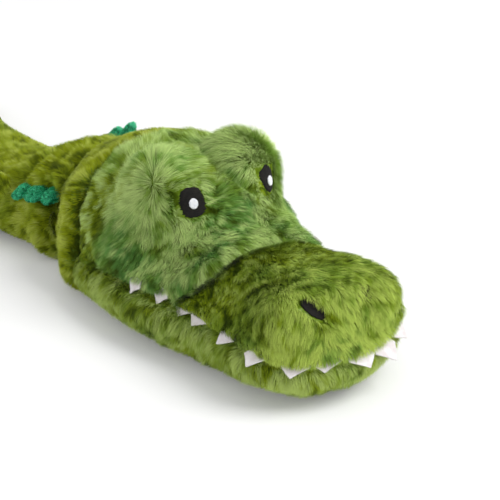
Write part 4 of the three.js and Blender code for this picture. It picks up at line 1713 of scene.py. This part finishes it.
@dataclass
class FeltTooth:
    """A triangle of felt, sewn into the mouth seam with its cut edges left raw."""

    node: str
    seed: int
    fuzz: Pile = Pile(0.7, 5.0, 0.09, 40, spread=80, tuft=0.8, gather=0.2, sections=3, softness=0.3)
    shown: float = 0.7
    skew: float = 4.4
    lift: float = -1.6
    wide: float = 1.2
    ahead: float = 0.0
    flatness: float = 0.4
    jaw_middle: Spot = (0, 110, 0)
    nose_end: Spot = (0, 195, 0)

    def comb(self, spots: Array, normals: Array, pile: Pile) -> Coat:
        """Gives the coat of loose fibres on the felt.

        Args:
            spots: Fibre roots in the form's own frame.
            normals: Not used.
            pile: The fabric's own habits.

        Returns:
            The coat.
        """
        coat = Coat.plain(len(spots), pile)
        coat.flow = wander(spots, 1.5, self.seed)
        coat.tone[:] = 0.7
        return coat

    def build(self, head: Placement, finish: Material) -> list[Object]:
        """Makes the tooth.

        Args:
            head: Where the head is.
            finish: The felt's material.

        Returns:
            The pieces of the tooth.
        """
        shape = bmesh.new()
        shape.from_mesh(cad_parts[self.node].data)
        bmesh.ops.subdivide_edges(shape, edges=shape.edges[:], cuts=6, use_grid_fill=True)
        skin = Skin(mesh_of(self.node + "_felt", shape))
        spots = head.local(skin.points)
        middle = (spots.min(0) + spots.max(0)) / 2
        outward = unit((middle - np.array(self.jaw_middle)) * (1, 1, 0))
        backward = np.cross(UP, outward)
        backward = backward * np.sign(backward @ (middle - np.array(self.nose_end)))
        hang = outward * 0.6 - UP * 0.8
        reach = (spots - middle) @ hang
        reach -= reach.min()
        thick = (spots - middle) @ np.cross(backward, hang)
        sideways = self.skew * reach / reach.max() + (spots - middle) @ backward * (self.wide - 1)
        moves = backward * sideways[:, None]
        moves = moves - backward * self.ahead - hang * (reach * (1 - self.shown) + self.lift)[:, None]
        moves = moves - np.cross(backward, hang) * (thick * self.flatness)[:, None]
        rough = wander(skin.points, 7.0, self.seed) * 0.6 + wander(skin.points, 2.0, self.seed + 4) * 0.1
        skin.shift(rough + head.outward(moves))
        tooth = placed(self.node + "_felt", skin.mesh, finish)
        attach(tooth, "head")
        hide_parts(self.node)
        maker = PileMaker(skin, UNTURNED, self.seed)
        return [tooth] + maker.grow(self.node + "_fuzz", self.comb, self.fuzz, finish, "head")


# Studio


@dataclass(frozen=True)
class Studio:
    """The pale floor, the soft light and the camera."""

    azimuth: float = -46.0
    elevation: float = 26.0
    target: Spot = (-2.036, -210.423, 38.0)
    distance: float = 1000.0
    focal: float = 1770.0
    picture: float = 500.0
    sky: float = 0.62
    key_power: float = 23.0
    key_place: Spot = (0.5, -1.25, 1.5)
    key_aim: Spot = (0.0, -0.12, 0.0)
    key_size: float = 1.3
    floor_glow: float = 0.16
    floor_reach: float = 6.0

    def camera(self) -> None:
        """Makes the camera that looks as the photograph does."""
        data = bpy.data.cameras.new("photo_camera")
        data.sensor_fit, data.sensor_width = "HORIZONTAL", 36.0
        data.angle = 2 * math.atan(self.picture / 2 / self.focal)
        data.clip_start = 0.01
        turn, tilt = math.radians(self.azimuth), math.radians(self.elevation)
        back = Vector((math.sin(turn) * math.cos(tilt), -math.cos(turn) * math.cos(tilt), math.sin(tilt)))
        camera = linked("photo_camera", data)
        camera.location = (Vector(self.target) + back * self.distance) * MM
        camera.rotation_euler = back.to_track_quat("Z", "Y").to_euler()
        bpy.context.scene.camera = camera

    def light(self) -> None:
        """Makes the overhead softbox and the even pale surroundings."""
        lamp = bpy.data.lights.new("softbox", "AREA")
        lamp.shape, lamp.size, lamp.energy = "DISK", self.key_size, self.key_power
        box = linked("softbox", lamp)
        box.location = Vector(self.key_aim) + Vector(self.key_place)
        box.rotation_euler = Vector(self.key_place).to_track_quat("Z", "Y").to_euler()
        world = bpy.data.worlds.new("studio")
        bpy.context.scene.world = world
        world.use_nodes = True
        made = Nodes(world.node_tree)
        seen = made.seen_by("Is Camera Ray", "Is Glossy Ray", "Is Transmission Ray")
        strength = made.add("MapRange", None, Value=seen, i3=self.sky, i4=1.0).outputs[0]
        made.feed(world.node_tree.nodes["Background"], Color=WHITE, Strength=strength)

    def floor(self) -> None:
        """Makes the white floor, which keeps the toy's shadow."""
        shape = bmesh.new()
        bmesh.ops.create_grid(shape, x_segments=1, y_segments=1, size=self.floor_reach)
        material, made, shader = blank("white_floor")
        seen = made.seen_by("Is Camera Ray", "Is Glossy Ray")
        glow = made.math("MULTIPLY", seen, self.floor_glow)
        made.feed(shader, Base_Color=(0.95, 0.95, 0.95, 1.0), Roughness=1.0, Specular_IOR_Level=0.0)
        made.feed(shader, Emission_Color=WHITE, Emission_Strength=glow)
        placed("floor", mesh_of("floor", shape), material)

    def build(self) -> None:
        """Makes all of the studio."""
        bpy.context.scene.view_settings.view_transform = "Standard"
        self.camera()
        self.light()
        self.floor()


# The toy

LONG_PILE = Pile(9.0, 5.2, 0.2, 60, tuft=4.4)
BODY_PILE = Pile(4.6, 4.2, 0.27, 50, tuft=2.8, sections=3)
LIMB_PILE = Pile(4.2, 3.6, 0.29, 50, tuft=2.8, sections=3)
# Of each tooth, from the front back: how much of it hangs out, how far it is raised, and set ahead.
TEETH = {
    "right": ((0.5, -0.6, 5.0), (0.56, -1.4, 4.0), (0.6, -1.4, 4.0), (0.62, -1.6, 3.0))
    + ((0.6, -1.6, 0.0), (0.66, -1.6, 0.0), (0.56, -1.2, 0.0), (0.56, -1.2, 0.0)),
    "left": ((0.66, -1.2, 0.0), (0.86, -1.6, 0.0), (0.7, -1.0, 0.0), (0.66, -1.6, 0.0))
    + ((0.6, -1.2, 0.0), (0.64, -1.4, 0.0), (0.56, -1.2, 0.0), (0.56, -1.2, 0.0)),
}
# Of each pair of legs: how far out and how far along it joins the body, and its heading.
LEGS = {"front": (41, -10, 8), "rear": (52, 107, 64)}
# The far rear leg is low where it joins the body, so that it hardly shows behind the back.
LOW_ROOT = (Region(-3.5, (30, 0, 30), (50, 20, 16)), Region(-2.5, (17, 2, 18), (11, 14, 16)))
# Of each row of scutes: the CAD body that it rides, and where its lobes meet along the toy.
SCUTES = {
    "shoulder": ("torso", (-69.5, -56.5, -47.5)),
    "hip": ("torso", (63.5, 76.5, 85.5)),
    "tail": ("tail_base", (192.5, 205.5)),
}
# Of each eye: how far it is moved from its solid, its size beside it, and its turn.
EYES = {"right": ((-1.6, 0.0), 1.0, 6.0), "left": ((2.5, 1.6), 0.9, 18.0)}
SQUEAKERS = ("head_squeaker", "head_squeaker_reed", "torso_squeaker", "torso_squeaker_reed")


def limb(body: str, place: Placement, seed: int, **others: object) -> StuffedForm:
    """Gives a leg or a length of the tail: one cover round one stuffing."""
    nodes = (body + "_cover", body + "_stuffing")
    return StuffedForm(body, nodes, place, LIMB_PILE, SHORT_PLUSH, seed, **others)


def stuffed_forms() -> list[StuffedForm]:
    """Lists every stuffed form of the toy, the head first.

    Returns:
        The forms, not yet built.
    """
    head = Head(
        "head",
        ("skull_cover", "snout_cover", "jaw_cover", "head_stuffing"),
        Placement((0, -140), 257),
        LONG_PILE,
        LONG_PLUSH,
        11,
        fill=0.9,
        filler=("head_squeaker", "eye_patch_right", "eye_patch_left", "nostril_right", "nostril_left"),
    )
    panels = ("torso_back_panel", "torso_side_panel_left", "torso_side_panel_right", "torso_belly_panel")
    torso = Torso(
        "torso",
        (*panels, "torso_stuffing"),
        Placement((0, -140), 90),
        BODY_PILE,
        SHORT_PLUSH,
        12,
        swells=(
            Region(-4.0, (38, 200, 30), (14, 22, 14)),  # waist
            Region(3.0, (44, 76, 12), (14, 24, 16)),  # ribs
            Region(4.5, (8, 84, 52), (34, 26, 18)),  # shoulders
        ),
        filler=("torso_squeaker",),
    )
    tail = [
        limb("tail_base", Placement((0, 140), 90), 13),
        limb("tail_tip", Placement((0, 245), 90), 14, voxel=2.4),
    ]
    legs = []
    for number, (pair, (side, along, sweep)) in enumerate(LEGS.items()):
        for hand, sign in (("right", -1), ("left", 1)):
            body = f"{pair}_leg_{hand}"
            place = Placement((sign * side, along), 90 + sign * (sweep - 90))
            swells = LOW_ROOT if body == "rear_leg_left" else ()
            seed = 20 + number * 2 + (sign > 0)
            legs.append(limb(body, place, seed, voxel=2.4, inset=4.4, swells=swells))
    return [head, torso, *tail, *legs]


def scute_strips() -> list[ScuteStrip]:
    """Lists the rows of lobes along the back and tail.

    Returns:
        The rows, not yet built.
    """
    strips = []
    for number, (row, (body, waists)) in enumerate(SCUTES.items()):
        for hand, sign, droop in (("right", -1, -0.3), ("left", 1, 0.3)):
            seed = 40 + number * 2 + (sign > 0)
            strips.append(ScuteStrip(f"{row}_scutes_{hand}", body, seed, (sign, 0, droop), waists))
    near, far, *rest = strips
    near = replace(near, sink=-1.4, gathered=0.18)
    far = replace(far, outward=(0.6, 0, 0.8), tilt=0.3, sink=-6.5, gathered=0.1, deepest=7.5)
    return [near, far, *rest]


def face_stitching() -> list[StitchedPatch]:
    """Lists the embroidered patches of the face.

    Returns:
        The patches, not yet built.
    """
    eye = StitchedPatch("", 7.4, 8.4, 2.7, BLACK_THREAD, Slot.BLACK, 61, ragged=0.9)
    light = StitchedPatch(
        "", 2.8, 2.8, 2.0, WHITE_THREAD, Slot.WHITE, 62, pitch=0.36, dome=0.5, lift=1.0, ragged=0.12
    )
    slit = StitchedPatch("", 7.8, 4.0, 2.0, BLACK_THREAD, Slot.BLACK, 63, dome=0.4, lift=0.7, slanted=True)
    patches = []
    for hand, (nudge, size, roll) in EYES.items():
        sizes = {"half_width": eye.half_width * size, "half_height": eye.half_height * size}
        patches.append(replace(eye, node=f"eye_patch_{hand}", nudge=nudge, roll=roll, **sizes))
        patches.append(replace(light, node=f"eye_highlight_{hand}", nudge=nudge))
        patches.append(replace(slit, node=f"nostril_{hand}"))
    return patches


def main() -> None:
    """Builds the studio and every piece of the toy."""
    logging.basicConfig(level=logging.INFO, format="%(name)s: %(message)s")
    Studio().build()
    dyed_mottle()
    fibre_root_shade_and_tip()
    forms = stuffed_forms()
    for form in forms:
        LOG.info("%s: %d pieces", form.body, len(form.build()))
    head = forms[0]
    cloths = {form.body: form.skin for form in forms}
    for strip in scute_strips():
        LOG.info("%s: %d pieces", strip.node, len(strip.build(cloths[strip.body])))
    for patch in face_stitching():
        LOG.info("%s: stitched", patch.build(head.skin).name)
    felt = FELT.material()
    for hand, rows in TEETH.items():
        for number, (shown, lift, ahead) in enumerate(rows, 1):
            seed = 80 + number + 10 * (hand == "left")
            tooth = FeltTooth(f"tooth_{hand}_{number}", seed, shown=shown, lift=lift, ahead=ahead)
            LOG.info("%s: %d pieces", tooth.node, len(tooth.build(head.place, felt)))
    vinyl = MOULDED.material()
    for node in SQUEAKERS:
        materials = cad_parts[node].data.materials
        materials.clear()
        materials.append(vinyl)
        LOG.info("%s: dressed", node)


if __name__ == "__main__":
    main()
